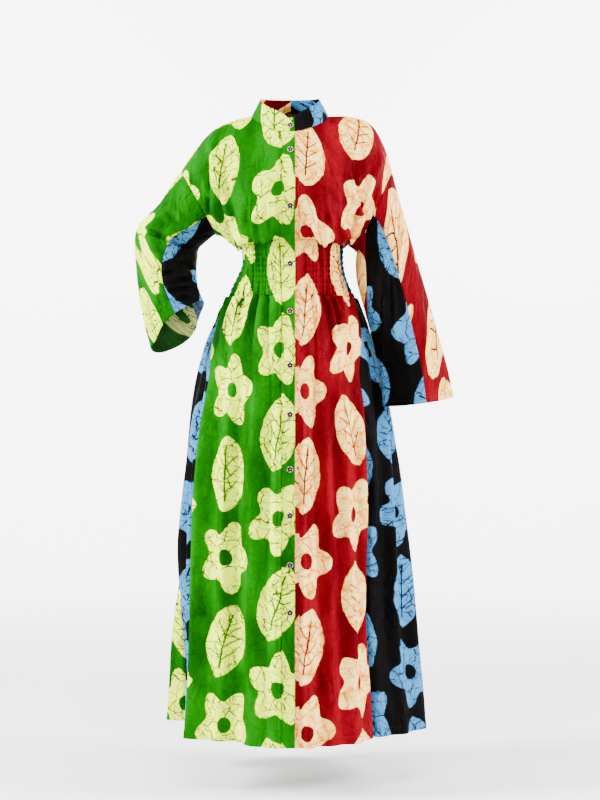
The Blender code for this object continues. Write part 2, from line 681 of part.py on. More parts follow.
def body_panels(kind, drops, relief, plain_every=None):
    """The six pieces of the band or the skirt."""
    steps = (0.02, 0.002)
    for side, colour in (("right", "green"), ("left", "red")):
        places = front_places(side == "right", drops)
        lift = relief(places[0], drops)
        lift[:, :2] = 0
        panel(f"{kind}_front_{side}", body, places, drops, steps, colour, 1, lift,
              plain_every=plain_every)
    for name, start, end, columns, colour in PANELS:
        places = even_places(FOLD_AT[start], FOLD_AT[end], columns)
        panel(f"{kind}_{name}", body, places, drops, steps, colour, 1,
              relief(places, drops), plain_every=plain_every)


# Rows down the bodice, and columns out from the centre to the sleeve seam
BODICE_DOWN = np.array([0, 0.08, 0.18, 0.30, 0.42, 0.54, 0.65, 0.75, 0.83, 0.90, 0.95, 0.98, 1.0])
NECK_STATIONS = np.array([0.65, 0.95, 1.25, 1.5, 1.75, 2.0])
BODICE_STATIONS = np.append(NECK_STATIONS, [2.5, 3.0, 3.4, 3.75, 4.0, 4.4, 4.8, 5.2, 5.6, 6.0])
BACK_FIRST = np.array([0, 0.33])  # the back's columns next to its centre seam


def draped(face):
    """The front or back of the bodice with its drape folds."""

    def surface(station, down):
        facing = -1 if face == "front" else 1
        plain = bodice(face, station, down)
        out = facing * normals(lambda u, v: bodice(face, u, v), station, down, 0.05, 0.01)
        return plain + out * drape_height(face, station, down)[..., None]

    return surface


def station_of_x(x, down):
    """The station near the centre front where the bodice is at x."""
    fine = np.linspace(-1.5, 1.5, 241)
    return float(np.interp(x, bodice("front", fine, np.full_like(fine, down))[:, 0], fine))


def front_stations(edge_x, second_x, side):
    rows = []
    for down in BODICE_DOWN:
        first = [station_of_x(x, down) for x in (edge_x, second_x)]
        rows.append(np.append(first, side * BODICE_STATIONS))
    return np.array(rows)


def bodice_panels():
    steps = (0.03, 0.004)
    right = front_stations(RIGHT_EDGE, STAND_SEAM, -1)
    left = front_stations(LEFT_EDGE, LEFT_SECOND, 1)
    back = np.append(BACK_FIRST, BODICE_STATIONS)
    for face, side, stations, colour, facing in (
        ("front", "right", right, "green", -1),
        ("front", "left", left, "red", -1),
        ("back", "right", -back, "green", 1),
        ("back", "left", back, "red", 1),
    ):
        panel(f"bodice_{face}_{side}", draped(face), stations, BODICE_DOWN, steps, colour,
              facing, settle=bodice_seam_normals(face))


def sleeve_panels(side, table, colour, facing):
    """A sleeve's main piece, and the contrast piece between its two seams."""
    alongs = np.linspace(0, 1, 13)
    front = table.read("front_seam", alongs)[:, None]
    back = table.read("back_seam", alongs)[:, None]
    share = np.linspace(0, 1, 17)
    steps = (2.0, 0.004)

    def waved(angle, along):
        plain = sleeve(table, angle, along)
        out = facing * normals(lambda u, v: sleeve(table, u, v), angle, along, 2.0, 0.01)
        grown = SLEEVE_WAVE * np.clip(along, 0, 1) ** 1.5
        wave = np.cos(np.radians(SLEEVE_WAVES * angle + 40)) * grown
        return plain + out * wave[..., None]

    def settle(out, angle, along):
        return np.where((along == 0)[..., None], sleeve_ring_normal(table, angle), out)

    main = (back - 360) + (front - back + 360) * share
    under = front + (back - front) * np.linspace(0, 1, 9)
    panel(f"sleeve_{side}_main", waved, main, alongs, steps, colour, facing, settle=settle)
    panel(f"sleeve_{side}_under", waved, under, alongs, steps, "black", facing, settle=settle)


def collar_facing(turn, height):
    """The facing, inside the collar."""
    return neck(turn, height) - normals(neck, turn, height, *COLLAR_STEPS) * FACING_IN


def collar_panels():
    """Two halves that meet at the centre back, with a facing inside each."""
    behind = 180 - 45 * np.append(NECK_STATIONS[::-1], BACK_FIRST[::-1])[1:]
    round_neck = np.append(45 * NECK_STATIONS, behind)
    right_xs = (STAND_EDGE, STAND_MIDDLE, RIGHT_EDGE, STAND_SEAM)
    left_xs = (STAND_EDGE + SEAM_GAP, LEFT_EDGE, LEFT_SECOND)
    for side, xs, way, outside, inside in (
        ("right", right_xs, -1, "green", "red"),
        ("left", left_xs, 1, "black", "black"),
    ):
        turns = np.append([turn_of_x(x) for x in xs], way * round_neck)
        panel(f"collar_{side}", neck, turns, COLLAR_ROWS, COLLAR_STEPS, outside,
              thick=COLLAR_WALL)
        panel(f"collar_facing_{side}", collar_facing, turns, COLLAR_ROWS, COLLAR_STEPS,
              inside, thick=COLLAR_WALL)


def turn_of_x(x):
    """The turn at which the collar's seam reaches x near the centre front."""
    side = NECK_SEAM["right"] if x < 0 else NECK_SEAM["left"]
    return math.degrees(math.asin(x / side))


def stand_line(x):
    """Points down the dress at one x near the centre front, with normals pointing
    out: over the bodice, the band and the skirt."""
    points, outs = [], []
    for down in BODICE_DOWN[:-1]:
        at = np.array(station_of_x(x, down)), np.array(down)
        points.append(bodice("front", *at))
        outs.append(-normals(lambda u, v: bodice("front", u, v), *at, 0.03, 0.004))
    outs[0] = normals(neck, np.array(turn_of_x(x)), np.array(0.0), *COLLAR_STEPS)
    for drop in np.concatenate([np.linspace(BAND_TOP, BAND_FOOT, 6), SKIRT_DROPS[1:]]):
        at = np.array(place_of_x(x, drop)), np.array(drop)
        points.append(body(*at))
        outs.append(normals(body, *at, 0.02, 0.002))
    return np.array(points), np.array(outs)


def strip(name, xs, lift, colour):
    """A strip of the button stand: columns at xs, moved out from the fronts."""
    lines = [stand_line(x) for x in xs]
    points = np.stack([line[0] for line in lines], 1)
    outs = np.stack([line[1] for line in lines], 1)
    outer = pulled_in(points + outs * (lift + WALL / 2))
    inner = pulled_in(points + outs * (lift - WALL / 2))
    return wall(name, outer, inner, colour)


def stand():
    strip("placket_right", (STAND_SEAM, RIGHT_EDGE, STAND_MIDDLE, STAND_EDGE), STAND_LIFT, "green")
    strip("placket_left", (UNDER_EDGE, STAND_MIDDLE, STAND_EDGE, LEFT_EDGE), 0.0, "red")


def button(number, drop):
    """A round button on the top strip, or on the collar."""
    seam_drop, top_drop = NECK.read("seam_drop", 0), NECK.read("top_drop", 0)
    if drop < seam_drop:
        at = np.array(0.0), np.array((seam_drop - drop) / (seam_drop - top_drop))
        centre, out = neck(*at), normals(neck, *at, *COLLAR_STEPS)
        lift = COLLAR_WALL / 2
    else:
        points, outs = stand_line(0.0)
        centre = np.array([np.interp(drop, -points[:, 2], points[:, i]) for i in range(3)])
        out = np.array([np.interp(drop, -points[:, 2], outs[:, i]) for i in range(3)])
        lift = STAND_LIFT + WALL / 2
    out /= np.linalg.norm(out)
    side = np.array([1.0, 0.0, 0.0])
    side -= out * side.dot(out)
    side /= np.linalg.norm(side)
    up = np.cross(side, out)
    mesh = bmesh.new()
    rings = []
    for width, height in BUTTON_PROFILE:
        middle = centre + out * (lift + BUTTON_SHANK + height * BUTTON_THICK)
        radius = BUTTON_RADIUS * width
        rings.append([
            mesh.verts.new(middle + radius * (math.cos(a) * side + math.sin(a) * up))
            for a in np.linspace(0, 2 * math.pi, BUTTON_SIDES, endpoint=False)
        ])
    for low, high in zip(rings, rings[1:]):
        for k in range(BUTTON_SIDES):
            n = (k + 1) % BUTTON_SIDES
            mesh.faces.new((low[k], low[n], high[n], high[k]))
    mesh.faces.new(rings[0])
    mesh.faces.new(rings[-1])
    bmesh.ops.recalc_face_normals(mesh, faces=mesh.faces)
    finished(f"button_{number:02d}", mesh, "bone", BUTTON_ROUGHNESS)


def build():
    for piece in list(bpy.data.objects):
        bpy.data.objects.remove(piece)
    shirr_drops = np.linspace(BAND_TOP, BAND_FOOT, 2 * SHIRR_ROWS + 1)
    collar_panels()
    bodice_panels()
    sleeve_panels("right", RIGHT_SLEEVE, "green", -1)
    sleeve_panels("left", LEFT_SLEEVE, "red", 1)
    body_panels("band", shirr_drops, puffs, (3, 2))
    body_panels("skirt", SKIRT_DROPS, gathers)
    stand()
    for number, drop in enumerate(BUTTON_DROPS, 1):
        button(number, drop)


build()
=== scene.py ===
import math

import bpy
import numpy as np
from mathutils import Matrix, Vector


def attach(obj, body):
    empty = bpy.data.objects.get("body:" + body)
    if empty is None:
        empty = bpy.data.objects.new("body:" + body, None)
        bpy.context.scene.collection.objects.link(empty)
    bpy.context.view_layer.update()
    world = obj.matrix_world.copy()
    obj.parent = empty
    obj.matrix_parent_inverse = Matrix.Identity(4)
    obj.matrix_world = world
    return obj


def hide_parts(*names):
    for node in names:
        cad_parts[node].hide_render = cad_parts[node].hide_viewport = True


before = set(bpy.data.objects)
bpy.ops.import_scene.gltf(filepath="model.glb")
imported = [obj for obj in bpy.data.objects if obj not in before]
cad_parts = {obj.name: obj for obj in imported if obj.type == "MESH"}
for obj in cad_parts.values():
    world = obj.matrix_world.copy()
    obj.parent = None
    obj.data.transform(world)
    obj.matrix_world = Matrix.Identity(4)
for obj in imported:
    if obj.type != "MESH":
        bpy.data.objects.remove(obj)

bpy.ops.object.select_all(action="DESELECT")
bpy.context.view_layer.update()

# Sizes shared with the solids, in metres. Drop is the distance below the neck point.
BAND_TOP = 0.310
BAND_FOOT = 0.4375
HIP = 0.640
HEM = 1.450
STAND_EDGE = 0.0109
STAND_SEAM = -0.0187
RIGHT_EDGE = -0.0090
UNDER_EDGE = -0.0087
LEFT_EDGE = 0.0205
STAND_LIFT = 0.0019
SEAM_GAP = 0.0003
BUTTON_RADIUS = 0.0070
BUTTON_DROPS = (0.044, 0.107, 0.236, 0.366, 0.477, 0.600, 0.710, 0.832, 0.935, 1.045, 1.150)

# Cloth, in metres
CLOTH = 0.0008  # thickness of one layer
HEM_CLOTH = 0.0017  # thickness of a turned hem
COLLAR_CLOTH = 0.0010
STAND_CLOTH = 0.0013
HEM_DEPTH = 0.018
CUFF_DEPTH = 0.012
SEAM_DIP = 0.0009  # how far a sewn edge pulls in
SEAM_REACH = 0.005
BAND_GATHER = 1.5  # cloth gathered into each metre of band

DOWN = (1, 1, -1)  # turns a drop into a height
UPRIGHT = (0, 0, 1)


def hermite(start, end, start_slope, end_slope, t):
    """A smooth path from start to end with a slope at each."""
    return (
        start * (2 * t**3 - 3 * t**2 + 1)
        + start_slope * (t**3 - 2 * t**2 + t)
        + end * (3 * t**2 - 2 * t**3)
        + end_slope * (t**3 - t**2)
    )


class Table:
    """Rows of sizes under named columns, read smoothly along the first column."""

    def __init__(self, columns, rows):
        self.keys = np.array([row[0] for row in rows], float)
        self.values = {
            name: np.array([row[i] for row in rows], float)
            for i, name in enumerate(columns)
        }

    def read(self, name, where):
        """A smooth curve through one column, read at each place."""
        keys, values = self.keys, self.values[name]
        where = np.clip(np.asarray(where, float), keys[0], keys[-1])
        slopes = np.gradient(values, keys)
        i = np.clip(np.searchsorted(keys, where, side="right") - 1, 0, len(keys) - 2)
        span = keys[i + 1] - keys[i]
        t = (where - keys[i]) / span
        return hermite(values[i], values[i + 1], slopes[i] * span, slopes[i + 1] * span, t)

    def point(self, where, *names):
        """The columns named, side by side."""
        return np.stack([self.read(name, where) for name in names], -1)


def named(columns, rows):
    """Rows of numbers with the names of their columns."""
    return [dict(zip(columns, row)) for row in rows]


def ease(low, high, where):
    """0 below low, 1 above high, and smooth between them."""
    t = np.clip((where - low) / (high - low), 0, 1)
    return t * t * (3 - 2 * t)


def bell(apart, spread):
    """1 in the middle of a ridge, and down to nothing beside it."""
    return np.exp(-((apart / spread) ** 2))


def arch(t, ends=0.0):
    """Half a wave along a fold, 1 halfway and 0 a little beyond its ends."""
    return np.sin(np.pi * np.clip(ends + (1 - 2 * ends) * t, 0, 1))


def wobble(n, low=0.0, high=1.0, power=1.0):
    """A repeatable uneven value between low and high for the n-th fold. A power above 1
    makes the high values rarer."""
    share = np.modf(np.abs(np.sin(np.asarray(n) * 12.9898 + 4.137) * 437.585))[0]
    return low + (high - low) * share**power


def unit(vectors):
    """Vectors of the same directions, one metre long."""
    return vectors / np.maximum(np.linalg.norm(vectors, axis=-1, keepdims=True), 1e-12)


def read_line(where, keys, points):
    """Points of a line, read at places between its keys."""
    return np.stack([np.interp(where, keys, points[:, k]) for k in range(3)], -1)


def walked(points, axis):
    """Distance walked over the cloth from the first row or column."""
    steps = np.linalg.norm(np.diff(points, axis=axis), axis=-1)
    return np.cumsum(np.insert(steps, 0, 0, axis=axis), axis=axis)


def outward(points, centre):
    """Unit normals of a grid of points, pointing away from a centre line."""
    out = unit(np.cross(np.gradient(points, axis=1), np.gradient(points, axis=0)))
    return out * np.sign(np.sum(out * (points - centre)))


# The body of the dress at each drop: half width at the wearer's right and left, and
# depth in front and behind
GIRTH = Table(("drop", "right", "left", "front", "back"), (
    (0.310, 0.1135, 0.1215, 0.104, 0.099),
    (0.340, 0.1105, 0.1208, 0.101, 0.096),
    (0.360, 0.1108, 0.1215, 0.102, 0.096),
    (0.382, 0.1187, 0.1257, 0.105, 0.099),
    (0.402, 0.1285, 0.1320, 0.110, 0.104),
    (0.420, 0.1370, 0.1400, 0.115, 0.109),
    (0.4375, 0.1430, 0.1490, 0.120, 0.114),
    (0.470, 0.1600, 0.1650, 0.132, 0.124),
    (0.500, 0.1745, 0.1780, 0.142, 0.133),
    (0.550, 0.1955, 0.1945, 0.155, 0.145),
    (0.610, 0.2110, 0.2110, 0.166, 0.156),
    (0.677, 0.2225, 0.2270, 0.174, 0.165),
    (0.800, 0.2380, 0.2390, 0.184, 0.177),
    (0.950, 0.2570, 0.2570, 0.193, 0.190),
    (1.100, 0.2730, 0.2760, 0.200, 0.200),
    (1.250, 0.2870, 0.2920, 0.205, 0.209),
    (1.380, 0.2970, 0.3060, 0.208, 0.215),
    (1.450, 0.3030, 0.3110, 0.209, 0.218),
))

# The skirt's folds and seams, round from the centre front over the wearer's right to
# the centre back, and on over the left: turn at the waist, turn from the hip down,
# place at the hem, and the drops between which each leaves the plain round shape
FOLD_COLUMNS = ("name", "waist_turn", "low_turn", "hem_x", "hem_y", "from_drop", "to_drop")
FOLDS = (
    ("centre_front", 0, 0, 0.006, -0.208, 0.80, 1.40),
    ("right_front_fold", -20, -16, -0.058, -0.203, 0.70, 1.40),
    ("right_front_dip", -42, -32, -0.120, -0.150, 0.62, 1.35),
    ("right_front_swell", -61, -47, -0.182, -0.130, 0.70, 1.35),
    ("right_front_seam", -79, -61, -0.237, -0.087, 0.80, 1.40),
    ("right_side_dip", -90, -88, -0.212, 0.010, 0.98, 1.45),
    ("right_back_seam", -101, -112, -0.2535, 0.100, 1.00, 1.45),
    ("right_back_swell", -114, -125, -0.304, 0.112, 0.80, 1.30),
    ("right_back_turn", -128, -138, -0.250, 0.172, 0.80, 1.40),
    ("right_back_dip", -145, -151, -0.165, 0.172, 0.62, 1.35),
    ("right_back_fold", -163, -166, -0.085, 0.222, 0.62, 1.35),
    ("centre_back", -180, -180, 0.000, 0.200, 0.70, 1.40),
    ("left_back_fold", -197, -195, 0.085, 0.222, 0.62, 1.35),
    ("left_back_dip", -214, -211, 0.150, 0.170, 0.62, 1.35),
    ("left_back_swell", -232, -227, 0.236, 0.178, 0.70, 1.35),
    ("left_back_seam", -259, -245, 0.290, 0.092, 0.80, 1.40),
    ("left_side_swell", -270, -271, 0.311, 0.018, 0.80, 1.40),
    ("left_side_fold", -278, -291, 0.268, -0.048, 0.75, 1.30),
    ("left_side_dip", -284, -304, 0.224, -0.076, 0.75, 1.25),
    ("left_front_seam", -289, -313, 0.186, -0.088, 0.75, 1.22),
    ("left_front_swell", -303, -320, 0.163, -0.142, 0.70, 1.30),
    ("left_front_dip", -322, -332, 0.109, -0.178, 0.62, 1.35),
    ("left_front_fold", -341, -346, 0.057, -0.204, 0.70, 1.40),
)
FOLD = {name: np.array([row[i] for row in FOLDS]) for i, name in enumerate(FOLD_COLUMNS)}
FOLD_COUNT = len(FOLDS)
FOLD_AT = {row[0]: i for i, row in enumerate(FOLDS)}


def wrapped(turn):
    """A turn from the centre front in degrees, from -180 to 180."""
    return (np.asarray(turn, float) + 180) % 360 - 180


def oval(turn, right, left, front, back):
    """Places across and behind on an oval with its own half width at each side of the
    wearer, and its own depth in front and behind."""
    turn = wrapped(turn)
    across, ahead = np.sin(np.radians(turn)), np.cos(np.radians(turn))
    return np.where(turn < 0, right, left) * across, -np.where(ahead > 0, front, back) * ahead


def ring(drop, turn):
    """A point of the plain round body."""
    sizes = (GIRTH.read(name, drop) for name in ("right", "left", "front", "back"))
    x, y = oval(turn, *sizes)
    return np.stack([x, y, -drop + 0 * x], -1)


def fold_line(i, drop):
    """The line of the i-th fold or seam down the skirt."""
    i = np.mod(i, FOLD_COUNT)
    low = ease(BAND_FOOT, HIP, drop)
    turn = FOLD["waist_turn"][i] * (1 - low) + FOLD["low_turn"][i] * low
    plain, plain_hem = ring(drop, turn), ring(np.full_like(drop, HEM), FOLD["low_turn"][i])
    grown = ease(FOLD["from_drop"][i], FOLD["to_drop"][i], drop)
    plain[..., 0] += grown * (FOLD["hem_x"][i] - plain_hem[..., 0])
    plain[..., 1] += grown * (FOLD["hem_y"][i] - plain_hem[..., 1])
    return plain


def body(place, drop):
    """The band and skirt. Place counts folds: 0 is the centre front, 5 a right side
    fold, and so on round to the number of folds."""
    place, drop = np.broadcast_arrays(np.asarray(place, float), np.asarray(drop, float))
    i = np.floor(place).astype(int)
    t = (place - i)[..., None]
    before, start, end, after = (fold_line(i + step, drop) for step in (-1, 0, 1, 2))
    return hermite(start, end, (end - before) / 2, (after - start) / 2, t)


def even_places(start, end, count, drop=0.95):
    """Places from start to end with even steps along the cloth at one drop."""
    fine = np.linspace(start, end, 160)
    line = body(fine, np.full_like(fine, drop))
    run = walked(line, 0)
    return np.interp(np.linspace(0, run[-1], count + 1), run, fine)


# Collar and neckline by turn away from the centre front: drops of seam and top edge
NECK = Table(("turn", "seam_drop", "top_drop"), (
    (0, 0.0610, 0.0250),
    (5, 0.0605, 0.0235),
    (12, 0.0577, 0.0165),
    (20, 0.0540, 0.0105),
    (45, 0.0400, -0.0035),
    (70, 0.0230, -0.0180),
    (90, 0.0105, -0.0290),
    (135, -0.0030, -0.0350),
    (180, -0.0060, -0.0370),
))
# The collar's oval at its seam and at its top edge
NECK_OVAL = {
    "right": (0.0905, 0.0705),
    "left": (0.0885, 0.0675),
    "front": (0.0780, 0.0600),
    "back": (0.0620, 0.0520),
}


def neck(turn, height):
    """The collar: height 0 is its seam and 1 its top edge."""
    turn, height = np.broadcast_arrays(np.asarray(turn, float), np.asarray(height, float))
    x, y = oval(turn, *(seam + (top - seam) * height for seam, top in NECK_OVAL.values()))
    low, top = (NECK.read(name, np.abs(wrapped(turn))) for name in ("seam_drop", "top_drop"))
    return np.stack([x, y, -(low + (top - low) * height)], -1)


# The bodice runs over stations: 0 at the centre front and back, 2 where the shoulder
# seam starts, 4 at the side seam, 6 at the sleeve seam; minus is the wearer's right
NECK_STATION = 2
SIDE_STATION = 4
SLEEVE_STATION = 6
SHOULDER = Table(("station", "x", "y", "drop"), (
    (-6, -0.2570, 0.0055, 0.1412),
    (-5, -0.2260, 0.004, 0.0930),
    (-4, -0.1830, 0.002, 0.0455),
    (-3, -0.1400, 0.000, 0.0230),
    (-2, -0.0905, 0.000, 0.0105),
    (0, 0.0, 0.000, 0.0105),
    (2, 0.0885, 0.000, 0.0105),
    (3, 0.1450, 0.000, 0.0125),
    (4, 0.1900, 0.000, 0.0320),
    (5, 0.2200, -0.002, 0.0840),
    (6, 0.2385, -0.003, 0.1435),
))
UNDERARM = Table(("station", "x", "y", "drop"), (
    (-6, -0.1750, 0.0055, 0.2850),
    (-5, -0.1430, 0.004, 0.2970),
    (-4, -0.1135, 0.000, 0.3092),
    (0, 0.0, 0.000, 0.3092),
    (4, 0.1215, 0.000, 0.3092),
    (5, 0.1410, -0.001, 0.3120),
    (6, 0.1575, -0.003, 0.3220),
))
# How each line from top to bottom leaves the straight: swell forward or back, how
# rounded it starts, and how far and how low it blouses over the band
SWELL = Table(("station", "front", "back", "round", "blouse", "sag"), (
    (-6, 0.058, 0.055, 1.00, 0.000, 0.000),
    (-5, 0.073, 0.070, 1.00, 0.003, 0.000),
    (-4, 0.085, 0.082, 0.95, 0.010, 0.004),
    (-3, 0.086, 0.084, 0.85, 0.015, 0.010),
    (-2, 0.079, 0.074, 0.70, 0.016, 0.012),
    (-1, 0.062, 0.050, 0.30, 0.010, 0.007),
    (-0.45, 0.0515, 0.039, 0.14, 0.000, 0.000),
    (0, 0.048, 0.034, 0.10, 0.000, 0.000),
    (0.45, 0.0515, 0.039, 0.14, 0.000, 0.000),
    (1, 0.062, 0.050, 0.30, 0.009, 0.006),
    (2, 0.079, 0.074, 0.70, 0.015, 0.009),
    (3, 0.086, 0.084, 0.85, 0.015, 0.010),
    (4, 0.085, 0.082, 0.95, 0.007, 0.002),
    (5, 0.072, 0.070, 1.00, 0.003, 0.000),
    (6, 0.058, 0.055, 1.00, 0.000, 0.000),
))
# Shares of the way down over which the corners of the upper and lower edge fade
TOP_FADE = 0.30
FOOT_FADE = 0.25
# How low the lip of the blouse lies, and how low and how far down its hang
LIP_LOW = 6
HANG_LOW = 5.5
HANG_END = 0.98
# How much of its neighbours a softened edge takes up, by stations away
CORNER_BLEND = ((-0.8, 0.12), (-0.4, 0.22), (0.0, 0.32), (0.4, 0.22), (0.8, 0.12))
# Drape folds of the bodice from one end to the other: which face, station and share
# of the way down at each end, height and half width in metres
STATION_WIDE = 0.045
BODICE_TALL = 0.26
DRAPE_ENDS = 0.1
DRAPES = named(("face", "station_a", "down_a", "station_b", "down_b", "height", "width"), (
    ("front", 5.15, 0.20, 4.60, 0.80, 0.014, 0.013),
    ("front", 4.30, 0.25, 3.70, 0.85, 0.007, 0.015),
    ("front", -4.20, 0.22, -4.10, 0.80, 0.013, 0.013),
    ("front", -5.20, 0.30, -4.80, 0.85, 0.008, 0.014),
    ("front", -2.30, 0.55, -2.60, 0.92, 0.006, 0.014),
    ("front", 2.40, 0.50, 2.70, 0.92, 0.006, 0.014),
    ("back", 4.90, 0.20, 4.40, 0.70, 0.009, 0.015),
    ("back", 3.60, 0.35, 3.10, 0.88, 0.007, 0.015),
    ("back", -4.70, 0.22, -4.20, 0.72, 0.009, 0.015),
    ("back", -3.40, 0.35, -3.00, 0.88, 0.007, 0.015),
))


def face_turn(face, turn):
    """A turn from the middle of the front or back, as a turn from the centre front."""
    return 180 - turn if face == "back" else turn


def bodice_top(face, station):
    """The neckline and shoulder seam at each station."""
    to_neck = face_turn(face, np.clip(station, -NECK_STATION, NECK_STATION) * 90 / NECK_STATION)
    shoulder = SHOULDER.point(station, "x", "y", "drop") * DOWN
    on_shoulder = (np.abs(station) > NECK_STATION)[..., None]
    return np.where(on_shoulder, shoulder, neck(to_neck, 0 * to_neck))


def bodice_foot(face, station):
    """The band seam and underarm seam at each station."""
    to_band = face_turn(face, np.clip(station, -SIDE_STATION, SIDE_STATION) * 90 / SIDE_STATION)
    underarm = UNDERARM.point(station, "x", "y", "drop") * DOWN
    waist = ring(np.full_like(station, BAND_TOP - SEAM_GAP), to_band)
    return np.where((np.abs(station) > SIDE_STATION)[..., None], underarm, waist)


def softened(edge, face, station):
    """An edge of the bodice with its corners rounded off, for the cloth away from it."""
    return sum(
        weight * edge(face, np.clip(station + step, -SLEEVE_STATION, SLEEVE_STATION))
        for step, weight in CORNER_BLEND
    )


def bodice(face, station, down):
    """The front or back of the bodice: down is 0 at neck and shoulder, 1 at the band
    seam and underarm."""
    station, down = np.broadcast_arrays(np.asarray(station, float), np.clip(down, 0, 1))
    forward = 1.0 if face == "front" else -1.0
    top, foot = bodice_top(face, station), bodice_foot(face, station)
    inside = (1 - ease(SLEEVE_STATION - 1, SLEEVE_STATION, np.abs(station)))[..., None]
    below = ease(0, TOP_FADE, down)[..., None] * inside
    above = ease(0, FOOT_FADE, 1 - down)[..., None] * inside
    top = top + below * (softened(bodice_top, face, station) - top)
    foot = foot + above * (softened(bodice_foot, face, station) - foot)
    roundness = SWELL.read("round", station)
    share = down * (1 - roundness) + (1 - np.cos(np.pi * down)) / 2 * roundness
    line = top + (foot - top) * share[..., None]
    bulge = arch(down ** (1.15 - 0.15 * roundness))
    line[..., 1] -= forward * SWELL.read(face, station) * bulge
    lip = arch(down**LIP_LOW)
    hang = arch(np.clip(down / HANG_END, 0, 1) ** HANG_LOW)
    away = foot[..., :2] / np.maximum(np.linalg.norm(foot[..., :2], axis=-1), 1e-6)[..., None]
    line[..., :2] += away * (SWELL.read("blouse", station) * lip)[..., None]
    line[..., 2] -= SWELL.read("sag", station) * hang
    return line


def drape_height(face, station, down):
    """How far the drape folds lift the bodice."""
    lift = 0 * station
    x, y = station * STATION_WIDE, down * BODICE_TALL
    for fold in DRAPES:
        if fold["face"] != face:
            continue
        ax, ay = fold["station_a"] * STATION_WIDE, fold["down_a"] * BODICE_TALL
        along_x, along_y = fold["station_b"] * STATION_WIDE - ax, fold["down_b"] * BODICE_TALL - ay
        t = ((x - ax) * along_x + (y - ay) * along_y) / (along_x**2 + along_y**2)
        near = np.clip(t, 0, 1)
        gap = np.hypot(x - ax - near * along_x, y - ay - near * along_y)
        lift = lift + fold["height"] * bell(gap, fold["width"]) * arch(t, DRAPE_ENDS)
    return lift


def draped(face):
    """The front or back of the bodice with its drape folds."""

    def surface(station, down):
        """Places on this face at a station and a share of the way down."""
        across = bodice(face, station + 0.05, down) - bodice(face, station - 0.05, down)
        below = bodice(face, station, down + 0.01) - bodice(face, station, down - 0.01)
        out = unit(np.cross(across, below)) * (-1 if face == "front" else 1)
        return bodice(face, station, down) + out * drape_height(face, station, down)[..., None]

    return surface


# Sleeves: outer and inner edge of each flattened section, its middle's y, how deep it
# is in front and behind, how far its front and back trail towards the cuff, and the
# angles of the under piece's seams, from the outer edge round over the front
SLEEVE_COLUMNS = (
    "along", "out_x", "out_drop", "in_x", "in_drop", "mid_y", "front", "back",
    "front_trail", "back_trail", "front_seam", "back_seam",
)
RIGHT_SLEEVE = Table(SLEEVE_COLUMNS, (
    (0.00, -0.2570, 0.1412, -0.1750, 0.2850, 0.0055, 0.058, 0.055, 0.000, 0.000, 122, 196),
    (0.12, -0.2830, 0.1740, -0.1900, 0.2960, 0.0100, 0.060, 0.055, 0.000, 0.000, 118, 198),
    (0.24, -0.3060, 0.2120, -0.2050, 0.3080, 0.0130, 0.062, 0.054, 0.000, 0.000, 112, 202),
    (0.36, -0.3380, 0.2460, -0.2150, 0.3170, 0.0120, 0.064, 0.052, 0.000, 0.000, 106, 206),
    (0.46, -0.3600, 0.2760, -0.2190, 0.3270, 0.0060, 0.064, 0.050, 0.002, 0.000, 100, 210),
    (0.56, -0.3640, 0.3120, -0.2200, 0.3390, -0.0050, 0.062, 0.048, 0.004, 0.002, 94, 214),
    (0.66, -0.3590, 0.3540, -0.2210, 0.3550, -0.0200, 0.058, 0.046, 0.006, 0.006, 86, 218),
    (0.76, -0.3520, 0.4060, -0.2220, 0.3800, -0.0380, 0.054, 0.044, 0.004, 0.014, 84, 220),
    (0.86, -0.3420, 0.4610, -0.2190, 0.4080, -0.0550, 0.050, 0.042, -0.004, 0.024, 88, 222),
    (0.94, -0.3300, 0.5110, -0.2120, 0.4340, -0.0680, 0.048, 0.040, -0.014, 0.032, 92, 222),
    (1.00, -0.3160, 0.5560, -0.2030, 0.4560, -0.0780, 0.046, 0.038, -0.024, 0.040, 95, 222),
))
LEFT_SLEEVE = Table(SLEEVE_COLUMNS, (
    (0.00, 0.2385, 0.1435, 0.1575, 0.3220, -0.003, 0.058, 0.055, 0.000, 0.000, 100, 126),
    (0.14, 0.2560, 0.2130, 0.1530, 0.3540, -0.008, 0.058, 0.054, 0.000, 0.000, 84, 128),
    (0.28, 0.2750, 0.2850, 0.1560, 0.3990, -0.018, 0.056, 0.052, 0.000, 0.000, 76, 134),
    (0.42, 0.2960, 0.3620, 0.1670, 0.4420, -0.030, 0.054, 0.050, 0.000, 0.000, 74, 148),
    (0.56, 0.3180, 0.4420, 0.1830, 0.5010, -0.042, 0.052, 0.048, 0.000, 0.000, 75, 172),
    (0.70, 0.3390, 0.5240, 0.2000, 0.5640, -0.052, 0.050, 0.046, 0.000, 0.000, 77, 196),
    (0.85, 0.3580, 0.5980, 0.2120, 0.6250, -0.060, 0.048, 0.044, 0.000, 0.000, 78, 212),
    (1.00, 0.3720, 0.6700, 0.2190, 0.6900, -0.066, 0.046, 0.042, 0.006, 0.000, 80, 220),
))
SLEEVE_WAVES = 4  # soft lengthways folds round a cuff
SLEEVE_WAVE = 0.006  # their height at the cuff
SLEEVE_WAVE_TURN = 40
AXIS_STEP = 0.02


def sleeve_edges(table, along):
    """The outer and inner edge of a sleeve."""
    along = np.clip(along, 0, 1)
    return [table.point(along, f"{edge}_x", "mid_y", f"{edge}_drop") * DOWN for edge in ("out", "in")]


def sleeve_middle(table, along):
    """The line down the middle of a sleeve."""
    return sum(sleeve_edges(table, along)) / 2


